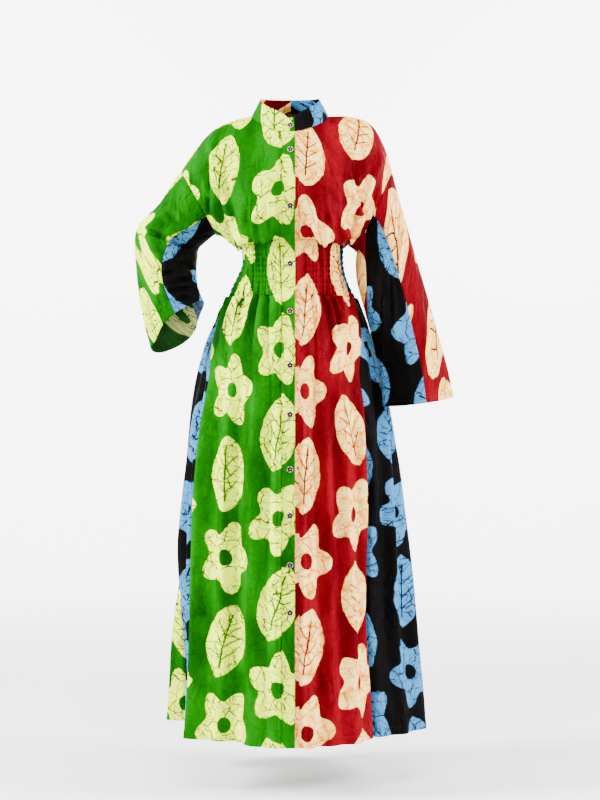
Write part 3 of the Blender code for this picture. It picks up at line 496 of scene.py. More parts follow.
def sleeve(table, angle, along):
    """A sleeve: angle 0 at its outer edge, 90 in front, 180 at its inner edge."""
    angle, along = np.broadcast_arrays(np.asarray(angle, float), np.clip(along, 0, 1))
    outer, inner = sleeve_edges(table, along)
    axis = unit(sleeve_middle(table, along + AXIS_STEP) - sleeve_middle(table, along - AXIS_STEP))
    forward, turned = np.sin(np.radians(angle)), np.cos(np.radians(angle))
    front = forward > 0
    deep = np.where(front, table.read("front", along), table.read("back", along))
    trail = np.where(front, table.read("front_trail", along), table.read("back_trail", along))
    point = (outer + inner) / 2 + (outer - inner) / 2 * turned[..., None]
    point[..., 1] -= deep * forward
    point += axis * (trail * np.abs(forward))[..., None]
    return point


def waved_sleeve(table, angle, along):
    """A sleeve with soft lengthways folds that grow towards its cuff."""
    plain = sleeve(table, angle, along)
    out = outward(plain, sleeve_middle(table, along))
    wave = np.cos(np.radians(SLEEVE_WAVES * angle + SLEEVE_WAVE_TURN)) * SLEEVE_WAVE * along**1.5
    return plain + out * wave[..., None]


class Wire:
    """A value that runs between shader nodes, with plain arithmetic on it."""

    def __init__(self, socket):
        self.socket = socket
        self.tree = socket.id_data

    def other(self, name):
        """Another output of the same node."""
        return Wire(self.socket.node.outputs[name])

    def __add__(self, value):
        return calc("ADD", self, value)

    def __sub__(self, value):
        return calc("SUBTRACT", self, value)

    def __rsub__(self, value):
        return calc("SUBTRACT", value, self)

    def __mul__(self, value):
        return calc("MULTIPLY", self, value)

    def __truediv__(self, value):
        return calc("DIVIDE", self, value)


def fill(made, values):
    """Gives a node's sockets their numbers, or links them to wires."""
    for key, value in dict(values).items():
        if isinstance(value, Wire):
            value.tree.links.new(value.socket, made.inputs[key])
        else:
            made.inputs[key].default_value = value


def node(kind, values=(), tree=None, **settings):
    """The first output of a new shader node with its settings and values."""
    values = dict(values)
    if tree is None:
        tree = next(value.tree for value in values.values() if isinstance(value, Wire))
    made = tree.nodes.new("ShaderNode" + kind)
    for key, value in settings.items():
        setattr(made, key, value)
    fill(made, values)
    return Wire(made.outputs[0])


def calc(operation, *values):
    """The result of a Math node."""
    return node("Math", enumerate(values), operation=operation)


def stepped(value, low, high, to_low=0.0, to_high=1.0):
    """A smooth step of a value between low and high."""
    values = {"Value": value, "From Min": low, "From Max": high, "To Min": to_low, "To Max": to_high}
    return node("MapRange", values, interpolation_type="SMOOTHSTEP")


def noise(place, scale, detail=2.0, **more):
    """A soft noise with so many cells a metre."""
    return node("TexNoise", {"Vector": place, "Scale": scale, "Detail": detail, **more})


def mixed(factor, first, second):
    """A blend of two colours."""
    return node("Mix", {"Factor": factor, 6: first, 7: second}, data_type="RGBA").other(2)


def drawn_out(place, down):
    """Places whose noises are longer down the cloth."""
    return node("Mapping", {"Vector": place, "Scale": (1.0, down, 1.0)})


def strayed(place, middle, *strays):
    """Places moved by noises, each with its scale, detail and reach in metres."""
    moved = place
    for scale, detail, reach in strays:
        stray = noise(place, scale, detail).other("Color")
        stray = node("VectorMath", {0: stray, 1: (middle,) * 3}, operation="SUBTRACT")
        moved = node("VectorMath", {0: stray, 1: (reach,) * 3, 2: moved}, operation="MULTIPLY_ADD")
    return moved


def split(place):
    """How far across and down the cloth a place is."""
    parts = node("SeparateXYZ", {0: place})
    return parts, parts.other(1)


def distance(x, y):
    """How far x and y are from 0."""
    return calc("SQRT", x * x + y * y)


# Print: pitch of the motifs across and down the cloth and sizes of flower and leaf, in
# metres, before the motifs are drawn out by MOTIF_TALL
PITCH_ACROSS = 0.146
PITCH_DOWN = 0.190
MOTIF_TALL = 1.2
MOTIF_LEAN = 0.7  # in radians, from one side to the other
PETALS = 5.0
PETAL_MIDDLE = 0.0585
PETAL_SWELL = 0.0125
EYE_RADIUS = 0.0150
LEAF_RADIUS = 0.0790
LEAF_BOW = 0.0320  # how far beyond the rib the middle of each side's curve lies
RIB_HALF = 0.0020
RIB_REACH = 0.052
VEIN_PITCH = 0.024
VEIN_HALF = 0.065  # in vein pitches
VEIN_SLANT = -0.9
VEIN_REACH = (0.026, 0.040)
# How the edges and cracks of the print wander: scale, detail and reach of each noise
EDGE_STRAYS = ((26, 2.0, 0.010), (150, 2.0, 0.0022))
CRACK_STRAYS = ((13, 2.0, 0.055), (90, 3.0, 0.006))
PATCHES = 17  # patches of veins, and broken places in them, a metre
BREAKS = 75
HALO = 0.34  # width of the halo of dye round the largest veins
# Crackle veins: cells a metre, width, patches where they show, and strength
CRACKS = (
    (26, 0.042, 0.22, 0.40, 1.0),
    (54, 0.050, 0.34, 0.50, 1.0),
    (110, 0.055, 0.46, 0.60, 0.8),
)
PRINT_SOCKETS = {
    "Cloth": "Vector", "Ground": "Color", "Motif": "Color", "Vein": "Color", "Rim": "Color",
    "Bleed": "Float", "Crackle": "Float",
}
# Black for the dye in the crackle veins, and for painted shade in the ground's streaky clouds
INK_AND_SHADE = (0, 0, 0, 1)


def motif_places(place):
    """Where each place lies in its motif, and 0 for a flower or 1 for a leaf. Motifs
    stand in half-drop columns, and each leans its own way."""
    across, down = split(place)
    across = across / PITCH_ACROSS
    column = calc("FLOOR", across)
    half = calc("FLOORED_MODULO", column, 2.0)
    down = down / PITCH_DOWN + half * 0.5
    row = calc("FLOOR", down)
    cell = node("CombineXYZ", {0: column, 1: row})
    lean = (node("TexWhiteNoise", {"Vector": cell}, noise_dimensions="2D") - 0.5) * MOTIF_LEAN
    cosine, sine = calc("COSINE", lean), calc("SINE", lean)
    x = (calc("FRACT", across) - 0.5) * PITCH_ACROSS
    y = (calc("FRACT", down) - 0.5) * PITCH_DOWN
    kind = calc("FLOORED_MODULO", row + half, 2.0)
    return x * cosine - y * sine, (x * sine + y * cosine) / MOTIF_TALL, kind


def flower_form(x, y):
    """How far inside a flower with an open eye each place lies."""
    far = distance(x, y)
    lobes = calc("COSINE", calc("ARCTAN2", y, x) * PETALS)
    return calc("MINIMUM", lobes * PETAL_SWELL + PETAL_MIDDLE - far, far - EYE_RADIUS)


def leaf_form(x, y):
    """How far inside a leaf, and clear of its rib and slanting veins, each place lies."""
    side, tip = calc("ABSOLUTE", x), calc("ABSOLUTE", y)
    blade = LEAF_RADIUS - distance(side + LEAF_BOW, y)
    rib = calc("MAXIMUM", side - RIB_HALF, tip - RIB_REACH)
    slant = calc("FRACT", (side * VEIN_SLANT + y) / VEIN_PITCH)
    vein = (calc("ABSOLUTE", slant - 0.5) - VEIN_HALF) * VEIN_PITCH
    ends = calc("MAXIMUM", side - VEIN_REACH[0], tip - VEIN_REACH[1])
    return calc("MINIMUM", blade, calc("MINIMUM", rib, calc("MAXIMUM", vein, ends)))


def wax_cracks(cloth):
    """Crackle veins of three sizes, and the halo of dye round the largest."""
    bent = strayed(cloth, 0.0, *CRACK_STRAYS)
    patchy, broken = noise(cloth, PATCHES), noise(cloth, BREAKS)
    cells, lines = [], []
    for scale, wide, low, high, strong in CRACKS:
        cell = node("TexVoronoi", {"Vector": bent, "Scale": scale},
                    feature="DISTANCE_TO_EDGE", voronoi_dimensions="2D")
        line = stepped(cell, wide * 0.3, wide * 1.3, 1.0, 0.0) * stepped(broken, 0.36, 0.50, 0.15, 1.0)
        lines.append(line * stepped(patchy, low, high) * strong)
        cells.append(cell)
    crackle = calc("MAXIMUM", calc("MAXIMUM", lines[0], lines[1]), lines[2])
    return crackle, stepped(cells[0], 0.0, HALO, 1.0, 0.0)


def batik_group():
    """Wax print: five-petal flowers and veined leaves by turns in half-drop columns,
    with uneven cut edges and crackle veins."""
    tree = bpy.data.node_groups.new("Wax print", "ShaderNodeTree")
    for label, kind in PRINT_SOCKETS.items():
        tree.interface.new_socket(label, in_out="INPUT", socket_type="NodeSocket" + kind)
    tree.interface.new_socket("Color", in_out="OUTPUT", socket_type="NodeSocketColor")
    outputs = tree.nodes.new("NodeGroupInput").outputs
    given = {label: Wire(outputs[label]) for label in PRINT_SOCKETS}
    cloth = given["Cloth"]
    x, y, kind = motif_places(strayed(cloth, 0.5, *EDGE_STRAYS))
    form = node("Mix", {"Factor": kind, 2: flower_form(x, y), 3: leaf_form(x, y)}, data_type="FLOAT")
    motif = stepped(form, -0.0007, 0.0007)
    rim = stepped(form, 0.0008, 0.0050, 1.0, 0.0) * motif
    crackle, halo = wax_cracks(cloth)
    crackle = crackle * given["Crackle"]
    cloud = stepped(noise(cloth, 42, 3.0), 0.44, 0.60)
    bleed = (halo * 0.7 + 0.3) * cloud * given["Bleed"]
    light = mixed(rim * 0.20, given["Motif"], given["Rim"])
    light = mixed(bleed, light, given["Rim"])
    light = mixed(crackle, light, given["Vein"])
    # Painted shade, partly: long streaky clouds darken the ground up to halfway to black. They are partly
    # uneven dye and partly painted shade of folds.
    depth = noise(drawn_out(cloth, 0.35), 15, 3.0)
    ground = mixed(stepped(depth, 0.35, 0.65, 0.0, 0.55), given["Ground"], INK_AND_SHADE)
    ground = mixed(crackle * 0.25, ground, INK_AND_SHADE)
    fill(tree.nodes.new("NodeGroupOutput"), {"Color": mixed(motif, ground, light)})
    return tree


def linear(colour):
    """Scene colour of a screen colour given as 0 to 255."""
    level = np.array(colour, float) / 255
    return np.append(np.where(level <= 0.04045, level / 12.92, ((level + 0.055) / 1.055) ** 2.4), 1)


def new_material(name):
    """A new material's node tree and shader."""
    made = bpy.data.materials.new(name)
    made.use_nodes = True
    LOOKS[name] = made
    return made.node_tree, made.node_tree.nodes["Principled BSDF"]


# Weave, slubs, crumples, hang and sharp creases of the cottons, in metres
THREAD_PITCH = 0.0006
THREAD_HIGH = 0.00004
SLUB_HIGH = 0.00012
CRUMPLE_DEEP = 0.0042
HANG_DEEP = 0.0100
CREASE_DEEP = 0.034  # times how far the crease's noise is from its middle
CREASE_LIMIT = 0.10
GREY_SHARE = 0.55  # brightness of the grey that a dull colour nears


def crumpled(cloth):
    """Height of the cotton's fine relief."""
    across, down = split(cloth)
    warp, weft = (calc("SINE", way * (2 * math.pi / THREAD_PITCH)) for way in (across, down))
    slub = noise(drawn_out(cloth, 0.12), 900)
    crumple = noise(cloth, 34, 3.0, Roughness=0.45, Distortion=0.3)
    hang = noise(drawn_out(cloth, 0.22), 24)
    drawn = noise(drawn_out(cloth, 0.4), 19, 3.0, Distortion=0.6)
    crease = calc("MINIMUM", calc("ABSOLUTE", drawn - 0.5), CREASE_LIMIT)
    crease = crease * stepped(noise(cloth, 9, 1.0), 0.38, 0.62) * CREASE_DEEP
    soft = crumple * CRUMPLE_DEEP + hang * HANG_DEEP
    return crease + (warp * weft * THREAD_HIGH + (slub * SLUB_HIGH + soft))


def cotton(name, ground, motif, vein, rim, bleed, crackle, dull=0.0):
    """Printed crisp cotton: print, weave, small crumples and a slight sheen."""
    tree, shader = new_material(name)
    cloth = node("UVMap", tree=tree)
    values = {"Cloth": cloth, "Bleed": bleed, "Crackle": crackle}
    for label, colour in (("Ground", ground), ("Motif", motif), ("Vein", vein), ("Rim", rim)):
        shade = linear(colour)
        shade[:3] = shade[:3] * (1 - dull) + shade[:3].mean() * GREY_SHARE * dull
        values[label] = shade
    fill(shader, {
        "Base Color": node("Group", values, tree, node_tree=PRINT),
        "Normal": node("Bump", {"Height": crumpled(cloth), "Strength": 0.75, "Distance": 1.0}),
        "Roughness": stepped(noise(cloth, 60), 0.3, 0.7, 0.50, 0.64),
        "Specular IOR Level": 0.012,
        "Sheen Weight": 0.002,
        "Sheen Roughness": 0.45,
    })


def sewing_thread(name, colour):
    """Matt sewing thread, with its twist."""
    tree, shader = new_material(name)
    twist = noise(node("TexCoord", tree=tree).other("Object"), 2500, 1.0)
    base = linear(colour)
    fill(shader, {"Base Color": mixed(twist, base, base * (0.6, 0.6, 0.6, 1)), "Roughness": 0.7})


def horn(name, light, dark, rough, coat, shine):
    """Polished button stuff with a soft grain."""
    tree, shader = new_material(name)
    grain = noise(node("TexCoord", tree=tree).other("Object"), 420, 3.0, Distortion=1.2)
    fill(shader, {
        "Base Color": mixed(stepped(grain, 0.35, 0.7), linear(light), linear(dark)),
        "Normal": node("Bump", {"Height": grain, "Strength": 0.15, "Distance": 0.0002}),
        "Roughness": rough,
        "Coat Weight": coat,
        "Specular IOR Level": shine,
    })


LOOKS = {}
PRINT = batik_group()
# Cottons: ground, motif, vein and rim colours, how far the veins bleed and show
COTTONS = {
    "green": ((1, 99, 1), (228, 251, 24), (30, 56, 4), (141, 172, 3), 0.15, 1.0),
    "red": ((114, 0, 16), (253, 212, 122), (196, 106, 0), (228, 146, 0), 0.85, 1.0),
    "black": ((9, 8, 8), (58, 120, 166), (14, 18, 30), (28, 80, 126), 0.30, 1.0),
}
WRONG_SIDE_DULL = 0.55
for colour_name, colours in COTTONS.items():
    cotton(colour_name + "_wax_cotton", *colours)
    cotton(colour_name + "_wax_cotton_wrong_side", *colours, dull=WRONG_SIDE_DULL)
    sewing_thread(colour_name + "_thread", colours[0])
horn("bone_button", (186, 164, 146), (150, 132, 108), 0.38, 0.2, 0.5)
horn("dark_petal_inlay", (9, 7, 6), (5, 4, 4), 0.62, 0.0, 0.08)


class Panel:
    """Distances walked over a grid of points on a piece of cloth."""

    def __init__(self, points):
        self.from_start = walked(points, 1)
        self.width = self.from_start[:, -1:]
        self.from_end = self.width - self.from_start
        self.share = self.from_start / self.width
        self.from_top = walked(points, 0)
        self.from_foot = self.from_top[-1:] - self.from_top

    def inside(self, start, end):
        """0 at the side edges and 1 inside them, eased between two distances each."""
        return ease(*start, self.from_start) * ease(*end, self.from_end)

    def seam_dip(self, start=True, end=True):
        """A sewn side edge pulls in a little."""
        dip = 0 * self.share
        for sewn, away in ((start, self.from_start), (end, self.from_end)):
            if sewn:
                dip = dip - SEAM_DIP * (1 - ease(0, SEAM_REACH, away))
        return dip


# Gathers: ranges of each ridge's place in its room, half width there, lean, height and
# length, and of the place and depth of its dent. A third number is wobble's power.
GATHER_PLACE = (0.05, 0.95)
GATHER_SPREAD = (0.24, 0.50)
GATHER_LEAN = (-0.18, 0.18)
GATHER_HEIGHT = (0.25, 1.25)
GATHER_LENGTH = (0.25, 1.65, 1.8)
GATHER_OPENS = 0.06  # how much a ridge widens with each metre down
GATHER_DENT_PLACE = (0, 0.8)
GATHER_DENT = (0.15, 1.25, 1.5)
GATHER_DENT_LEAN = 1.3
GATHER_DENT_HALF = 0.0036
GATHER_DENT_OPENS = 0.05
GATHER_HEAD = 0.35  # share of the gathers left where they are sewn down
HEAD_REACH = (0, 0.006)
# Long folds: ranges of place, lean, start below the band, fading, half width and height
LONG_PLACE = (0.15, 0.85)
LONG_LEAN = (-0.025, 0.025)
LONG_START = (0.04, 0.20)
LONG_GROWTH = 0.25
LONG_FADES = (0, 0.55)
LONG_FADE_FROM = 0.9
LONG_SPREAD = (0.010, 0.020)
LONG_OPENS = 0.008
LONG_HEIGHT = (0.5, 1.2)
LONG_TROUGH = -0.8  # depth of a trough against the height of a ridge


def gather_lift(panel, below, count, seed, high, reach):
    """Gathers along a seam: each ridge, and the dent beside it, has its own place,
    height, spread, length and lean."""
    lift = 0 * panel.share
    room = panel.width[0, 0] / count
    for k in range(count):
        n = k + seed
        fade = np.exp(-((below / (reach * wobble(n + 23, *GATHER_LENGTH))) ** 1.4))
        lean = wobble(n + 41, *GATHER_LEAN) * below
        place = (k + wobble(n, *GATHER_PLACE)) / count
        spread = room * wobble(n + 5, *GATHER_SPREAD) + GATHER_OPENS * below
        ridge = bell((panel.share - place) * panel.width + lean, spread)
        lift = lift + high * wobble(n + 11, *GATHER_HEIGHT) * fade * ridge
        place = (k + wobble(n + 31, *GATHER_DENT_PLACE)) / count
        apart = abs((panel.share - place) * panel.width + GATHER_DENT_LEAN * lean)
        dent = np.exp(-apart / (GATHER_DENT_HALF + GATHER_DENT_OPENS * below))
        lift = lift - high * wobble(n + 37, *GATHER_DENT) * fade * dent
    return lift * (GATHER_HEAD + (1 - GATHER_HEAD) * ease(*HEAD_REACH, below))


def long_folds(panel, drop, count, seed, high):
    """Soft folds that hang from the hip to the hem, ridges and troughs by turns."""
    lift = 0 * panel.share
    for k in range(count):
        n = k + seed
        place = (k + wobble(n + 3, *LONG_PLACE)) / count
        lean = wobble(n + 7, *LONG_LEAN) * (drop - HIP)
        start = BAND_FOOT + wobble(n + 9, *LONG_START)
        fading = wobble(n + 2, *LONG_FADES) * ease(LONG_FADE_FROM, HEM, drop)
        grown = ease(start, start + LONG_GROWTH, drop) * (1 - fading)
        spread = wobble(n + 13, *LONG_SPREAD) + LONG_OPENS * (drop - start)
        height = high * wobble(n + 17, *LONG_HEIGHT) * (1 if k % 2 == 0 else LONG_TROUGH)
        lift = lift + height * grown * bell((panel.share - place - lean) * panel.width, spread)
    return lift


def beside(points, line):
    """Where points lie beside a line from a to b, seen from the front: the share of the
    way along it, how far to its side, and its way across and down."""
    way = np.array((line["x_b"] - line["x_a"], line["drop_b"] - line["drop_a"]))
    length = math.hypot(*way)
    way = way / length
    from_x, from_drop = points[..., 0] - line["x_a"], -points[..., 2] - line["drop_a"]
    t = (from_x * way[0] + from_drop * way[1]) / length
    return t, from_x * way[1] - from_drop * way[0], way


# Creases of bodice and sleeves, seen from the front: both ends, height and half width
CREASE_COLUMNS = ("face", "x_a", "drop_a", "x_b", "drop_b", "height", "width")
CREASES = named(CREASE_COLUMNS, (
    ("front", -0.177, 0.110, -0.176, 0.270, 0.0080, 0.0080),
    ("front", -0.190, 0.110, -0.198, 0.290, -0.0120, 0.0055),
    ("front", -0.205, 0.150, -0.182, 0.262, 0.0048, 0.0050),
    ("front", -0.160, 0.215, -0.120, 0.300, 0.0072, 0.0060),
    ("front", -0.175, 0.232, -0.112, 0.318, -0.0056, 0.0045),
    ("front", -0.130, 0.200, -0.098, 0.290, 0.0048, 0.0070),
    ("front", -0.062, 0.225, -0.066, 0.300, 0.0045, 0.0050),
    ("front", -0.045, 0.205, -0.040, 0.296, 0.0038, 0.0045),
    ("front", -0.085, 0.235, -0.084, 0.300, 0.0042, 0.0050),
    ("front", -0.120, 0.060, -0.150, 0.120, 0.0032, 0.0080),
    ("front", -0.070, 0.090, -0.110, 0.135, 0.0022, 0.0100),
    ("front", 0.118, 0.190, 0.136, 0.285, 0.0048, 0.0070),
    ("front", 0.060, 0.225, 0.058, 0.300, 0.0042, 0.0055),
    ("front", 0.083, 0.230, 0.090, 0.303, 0.0048, 0.0050),
    ("front", 0.040, 0.240, 0.038, 0.300, 0.0035, 0.0045),
    ("front", 0.105, 0.050, 0.150, 0.110, 0.0032, 0.0090),
    ("front", 0.160, 0.070, 0.186, 0.200, 0.0042, 0.0080),
    ("front", 0.195, 0.110, 0.205, 0.250, 0.0042, 0.0075),
    ("back", -0.180, 0.100, -0.168, 0.250, 0.0072, 0.0080),
    ("back", -0.140, 0.160, -0.110, 0.290, 0.0056, 0.0070),
    ("back", -0.060, 0.200, -0.055, 0.298, 0.0045, 0.0060),
    ("back", -0.020, 0.215, -0.020, 0.298, 0.0035, 0.0050),
    ("back", 0.030, 0.205, 0.028, 0.298, 0.0042, 0.0055),
    ("back", 0.080, 0.190, 0.070, 0.296, 0.0048, 0.0060),
    ("back", 0.145, 0.150, 0.118, 0.290, 0.0056, 0.0070),
    ("back", 0.185, 0.110, 0.172, 0.255, 0.0072, 0.0080),
))
SLEEVE_CREASES = named(CREASE_COLUMNS, (
    ("front", -0.300, 0.235, -0.262, 0.275, 0.0056, 0.0080),
    ("front", -0.280, 0.215, -0.235, 0.270, 0.0048, 0.0070),
    ("front", -0.325, 0.350, -0.262, 0.372, 0.0056, 0.0070),
    ("front", -0.335, 0.375, -0.285, 0.420, -0.0048, 0.0070),
    ("front", -0.345, 0.340, -0.300, 0.330, 0.0048, 0.0070),
    ("front", -0.300, 0.400, -0.275, 0.490, 0.0056, 0.0090),
    ("front", -0.325, 0.430, -0.305, 0.520, 0.0048, 0.0080),
    ("front", -0.255, 0.340, -0.232, 0.420, 0.0056, 0.0060),
    ("back", -0.330, 0.250, -0.270, 0.300, 0.0080, 0.0100),
    ("back", -0.335, 0.320, -0.280, 0.350, -0.0064, 0.0080),
    ("back", -0.320, 0.400, -0.290, 0.500, 0.0064, 0.0090),
    ("back", -0.270, 0.340, -0.250, 0.440, 0.0056, 0.0080),
    ("front", 0.213, 0.330, 0.216, 0.640, 0.0096, 0.0100),
    ("front", 0.228, 0.300, 0.246, 0.600, -0.0064, 0.0090),
    ("front", 0.245, 0.210, 0.300, 0.420, 0.0048, 0.0100),
    ("front", 0.285, 0.380, 0.330, 0.640, 0.0056, 0.0110),
    ("front", 0.215, 0.180, 0.225, 0.330, 0.0048, 0.0090),
    ("front", 0.190, 0.300, 0.200, 0.440, -0.0048, 0.0060),
    ("back", 0.240, 0.220, 0.290, 0.480, 0.0072, 0.0120),
    ("back", 0.225, 0.380, 0.250, 0.640, 0.0072, 0.0100),
    ("back", 0.300, 0.400, 0.335, 0.640, -0.0056, 0.0100),
))
CREASE_BOW = 0.004
CREASE_ENDS = 0.075
# Overlapped folds: both ends of the lip, seen from the front, its height, how far the
# rise behind it reaches and how far the lip hangs over. The rise is on the right of the
# way from the second end to the first.
TUCK_COLUMNS = ("x_a", "drop_a", "x_b", "drop_b", "height", "reach", "hang")
BODICE_TUCKS = named(TUCK_COLUMNS, (
    (0.173, 0.280, 0.127, 0.138, 0.0090, 0.018, 0.0040),
    (-0.113, 0.215, -0.108, 0.300, 0.0075, 0.014, 0.0035),
    (-0.146, 0.288, -0.112, 0.309, 0.0060, 0.012, 0.0030),
    (0.120, 0.306, 0.152, 0.297, 0.0060, 0.012, 0.0030),
    (-0.196, 0.262, -0.190, 0.180, 0.0060, 0.014, 0.0030),
    (-0.088, 0.305, -0.070, 0.236, 0.0045, 0.009, 0.0020),
    (0.088, 0.250, 0.100, 0.307, 0.0045, 0.009, 0.0020),
))
SLEEVE_TUCKS = named(TUCK_COLUMNS, (
    (-0.356, 0.268, -0.226, 0.317, 0.0170, 0.024, 0.0090),
    (-0.262, 0.352, -0.222, 0.366, 0.0080, 0.014, 0.0040),
    (-0.286, 0.404, -0.214, 0.388, 0.0100, 0.014, 0.0050),
    (-0.290, 0.424, -0.214, 0.412, 0.0100, 0.013, 0.0050),
    (-0.286, 0.446, -0.216, 0.432, 0.0090, 0.013, 0.0045),
    (-0.300, 0.385, -0.270, 0.376, 0.0070, 0.012, 0.0040),
    (0.214, 0.620, 0.207, 0.350, 0.0070, 0.016, 0.0030),
))
TUCK_ENDS = 0.05
TUCK_FACING = (-0.1, 0.3)  # how far forward the cloth faces where tucks show
LIP_WANDER = 0.0022
LIP_SHARP = 0.0032  # half width of the fall in front of a lip
DENT_SHARE = 0.60  # depth of the dent in front of a lip, against the lip's height
DENT_PLACE = 0.007
DENT_WIDE = 0.006


def crease_lift(creases, face, points):
    """How far the listed creases lift each point, by its place seen from the front."""
    lift = np.zeros(points.shape[:-1])
    for crease in creases:
        if crease["face"] != face:
            continue
        t, aside, _ = beside(points, crease)
        bow = CREASE_BOW * np.sin(np.pi * t) * math.copysign(1, aside.mean())
        lift = lift + crease["height"] * arch(t, CREASE_ENDS) ** 2 * bell(aside - bow, crease["width"])
    return lift


def tucked(tucks, points, out, clear):
    """How far each point moves where the cloth laps over itself in a fold."""
    ahead = ease(*TUCK_FACING, -out[..., 1]) * clear
    move = np.zeros_like(points)
    for tuck in tucks:
        t, aside, way = beside(points, tuck)
        aside = aside + LIP_WANDER * np.sin(9 * t + 40 * tuck["height"])
        ends = ahead * arch(t, TUCK_ENDS) ** 1.4
        behind = aside > 0
        rise = np.where(behind, bell(aside, tuck["reach"]), bell(aside, LIP_SHARP))
        dent = DENT_SHARE * bell(aside + DENT_PLACE, DENT_WIDE)
        slide = np.where(behind, bell(aside, 0.6 * tuck["reach"]), 0)
        move = move + (tuck["height"] * ends * (rise - dent))[..., None] * out
        move = move + (tuck["hang"] * ends * slide)[..., None] * np.array((-way[1], 0, -way[0]))
    return move


# Where the front and collar pieces lie on the print, in metres across and up
PRINT_SHIFTS = {"collar_right": (-0.020, -0.048), "collar_left": (-0.022, 0.095)}
for front_part in ("bodice_front", "band_front", "skirt_front", "placket"):
    PRINT_SHIFTS[front_part + "_right"] = (-0.045, 0.0)
    PRINT_SHIFTS[front_part + "_left"] = (0.034, 0.0)


def panel_points(surface, u, v):
    """Points of a surface over rows v, each with its own or the same places u."""
    v_grid = np.broadcast_to(np.asarray(v, float)[:, None], (len(v), np.shape(u)[-1]))
    return surface(np.broadcast_to(np.asarray(u, float), v_grid.shape), v_grid)


def make_cloth(name, points, flat, out, look, thick=None):
    """A thin closed shell on a grid of points. Flat gives each point's place on the cut
    cloth, and thick its thickness."""
    flat = flat + PRINT_SHIFTS.get(name, (0.0, 0.0))
    thick = np.full(points.shape[:2], CLOTH) if thick is None else thick
    rows, columns = points.shape[:2]
    across, down = points[:-1, 1:] - points[:-1, :-1], points[1:, :-1] - points[:-1, :-1]
    if np.sum(np.cross(across, down) * out[:-1, :-1]) < 0:
        points, flat, out, thick = (grid[:, ::-1] for grid in (points, flat, out, thick))
    bpy.ops.object.select_all(action="DESELECT")
    bpy.ops.mesh.primitive_grid_add(x_subdivisions=columns - 1, y_subdivisions=rows - 1)
    piece = bpy.context.object
    piece.name = piece.data.name = name
    mesh = piece.data
    mesh.vertices.foreach_set("co", points.reshape(-1))
    corner = np.zeros(len(mesh.loops), int)
    mesh.loops.foreach_get("vertex_index", corner)
    mesh.uv_layers.active.data.foreach_set("uv", flat.reshape(-1, 2)[corner].reshape(-1))
    group = piece.vertex_groups.new(name="thickness")
    levels = np.round(thick.reshape(-1) / HEM_CLOTH, 2)
    for level in np.unique(levels):
        group.add(np.flatnonzero(levels == level).tolist(), float(level), "REPLACE")
    solid = piece.modifiers.new("Thickness", "SOLIDIFY")
    solid.thickness = HEM_CLOTH
    solid.offset = 0
    solid.vertex_group = "thickness"
    solid.material_offset = 1
    mesh.materials.append(LOOKS[look + "_wax_cotton"])
    mesh.materials.append(LOOKS[look + "_wax_cotton_wrong_side"])
    bpy.ops.object.modifier_apply(modifier=solid.name)
    piece.vertex_groups.clear()
    bpy.ops.object.shade_smooth()
    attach(piece, "root")
    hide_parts(name)
    edge_a, edge_b = flat[1:, 1:] - flat[:-1, :-1], flat[1:, :-1] - flat[:-1, 1:]
    area = abs(np.sum(edge_a[..., 0] * edge_b[..., 1] - edge_a[..., 1] * edge_b[..., 0])) / 2


def turned_edge(away, depth):
    """Thickness near a turned hem: full up to the stitch line, thin beyond it."""
    return CLOTH + (HEM_CLOTH - CLOTH) * (1 - ease(depth - 0.002, depth, away))


def cut_places(points, side, from_centre, top, squeeze=1.0, from_foot=False):
    """Places on the cut cloth: across from the centre line, and down from the top."""
    panel = Panel(points)
    across = side * (from_centre + panel.from_start * squeeze)
    down = -panel.from_foot if from_foot else panel.from_top
    return np.stack([across, -(top + down)], -1)


STITCH_PITCH = 0.0034
STITCH_LENGTH = 0.0024
STITCH_WIDE = 0.00032
STITCH_HIGH = 1.2 * STITCH_WIDE
# Corners 0 to 3 of a stitch lie round its middle, 4 above it and 5 below
STITCH_FACES = np.array((
    (0, 2, 4), (2, 1, 4), (1, 3, 4), (3, 0, 4), (2, 0, 5), (1, 2, 5), (3, 1, 5), (0, 3, 5),
))


def stitches(name, line, outs, colour):
    """A row of thread stitches along a line on the cloth."""
    run = walked(line, 0)
    count = max(int(run[-1] / STITCH_PITCH), 1)
    middles = (np.arange(count) + 0.5) * run[-1] / count
    centre, out = read_line(middles, run, line), unit(read_line(middles, run, outs))
    way = unit(read_line(middles + 0.001, run, line) - read_line(middles - 0.001, run, line))
    side, half = np.cross(out, way), STITCH_LENGTH / 2
    corners = np.stack([
        centre - way * half, centre + way * half,
        centre + side * STITCH_WIDE, centre - side * STITCH_WIDE,
        centre + out * STITCH_HIGH, centre - out * STITCH_WIDE,
    ], 1)
    faces = (STITCH_FACES + 6 * np.arange(count)[:, None, None]).reshape(-1, 3)
    mesh = bpy.data.meshes.new(name)
    mesh.from_pydata(corners.reshape(-1, 3).tolist(), [], faces.tolist())
    piece = bpy.data.objects.new(name, mesh)
    bpy.context.scene.collection.objects.link(piece)
    mesh.materials.append(LOOKS[colour + "_thread"])
    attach(piece, "root")


def turned_stitches(name, away, shown, out, depth, colour):
    """The stitches that hold a turned hem or cuff, where away reaches its depth."""
    line, outs = [], []
    for column in range(away.shape[1]):
        order = np.argsort(away[:, column])
        keys = away[order, column]
        line.append(read_line(depth, keys, shown[order, column]))
        outs.append(read_line(depth, keys, out[order, column]))
    outs = unit(np.array(outs))
    stitches(name, np.array(line) + outs * HEM_CLOTH / 2, outs, colour)


# Collar pieces: first edge, way round, outer and inner look
COLLAR_PIECES = (
    ("right", STAND_EDGE, -1, "green", "red"),
    ("left", STAND_EDGE + SEAM_GAP, 1, "black", "black"),
)
COLLAR_ROWS = 19
COLLAR_COLUMNS = 96
COLLAR_STITCHES = (("seam", 1), ("edge", -3))  # by row
COLLAR_RIM = 0.0004  # how far the top edge rolls in
COLLAR_RIM_SHARE = 0.12  # of the collar's height
COLLAR_RIPPLE = 0.0004
COLLAR_RIPPLES = 9
FACING_IN = 0.0011
FACING_SHIFT = (0.05, 0.02)  # on the print


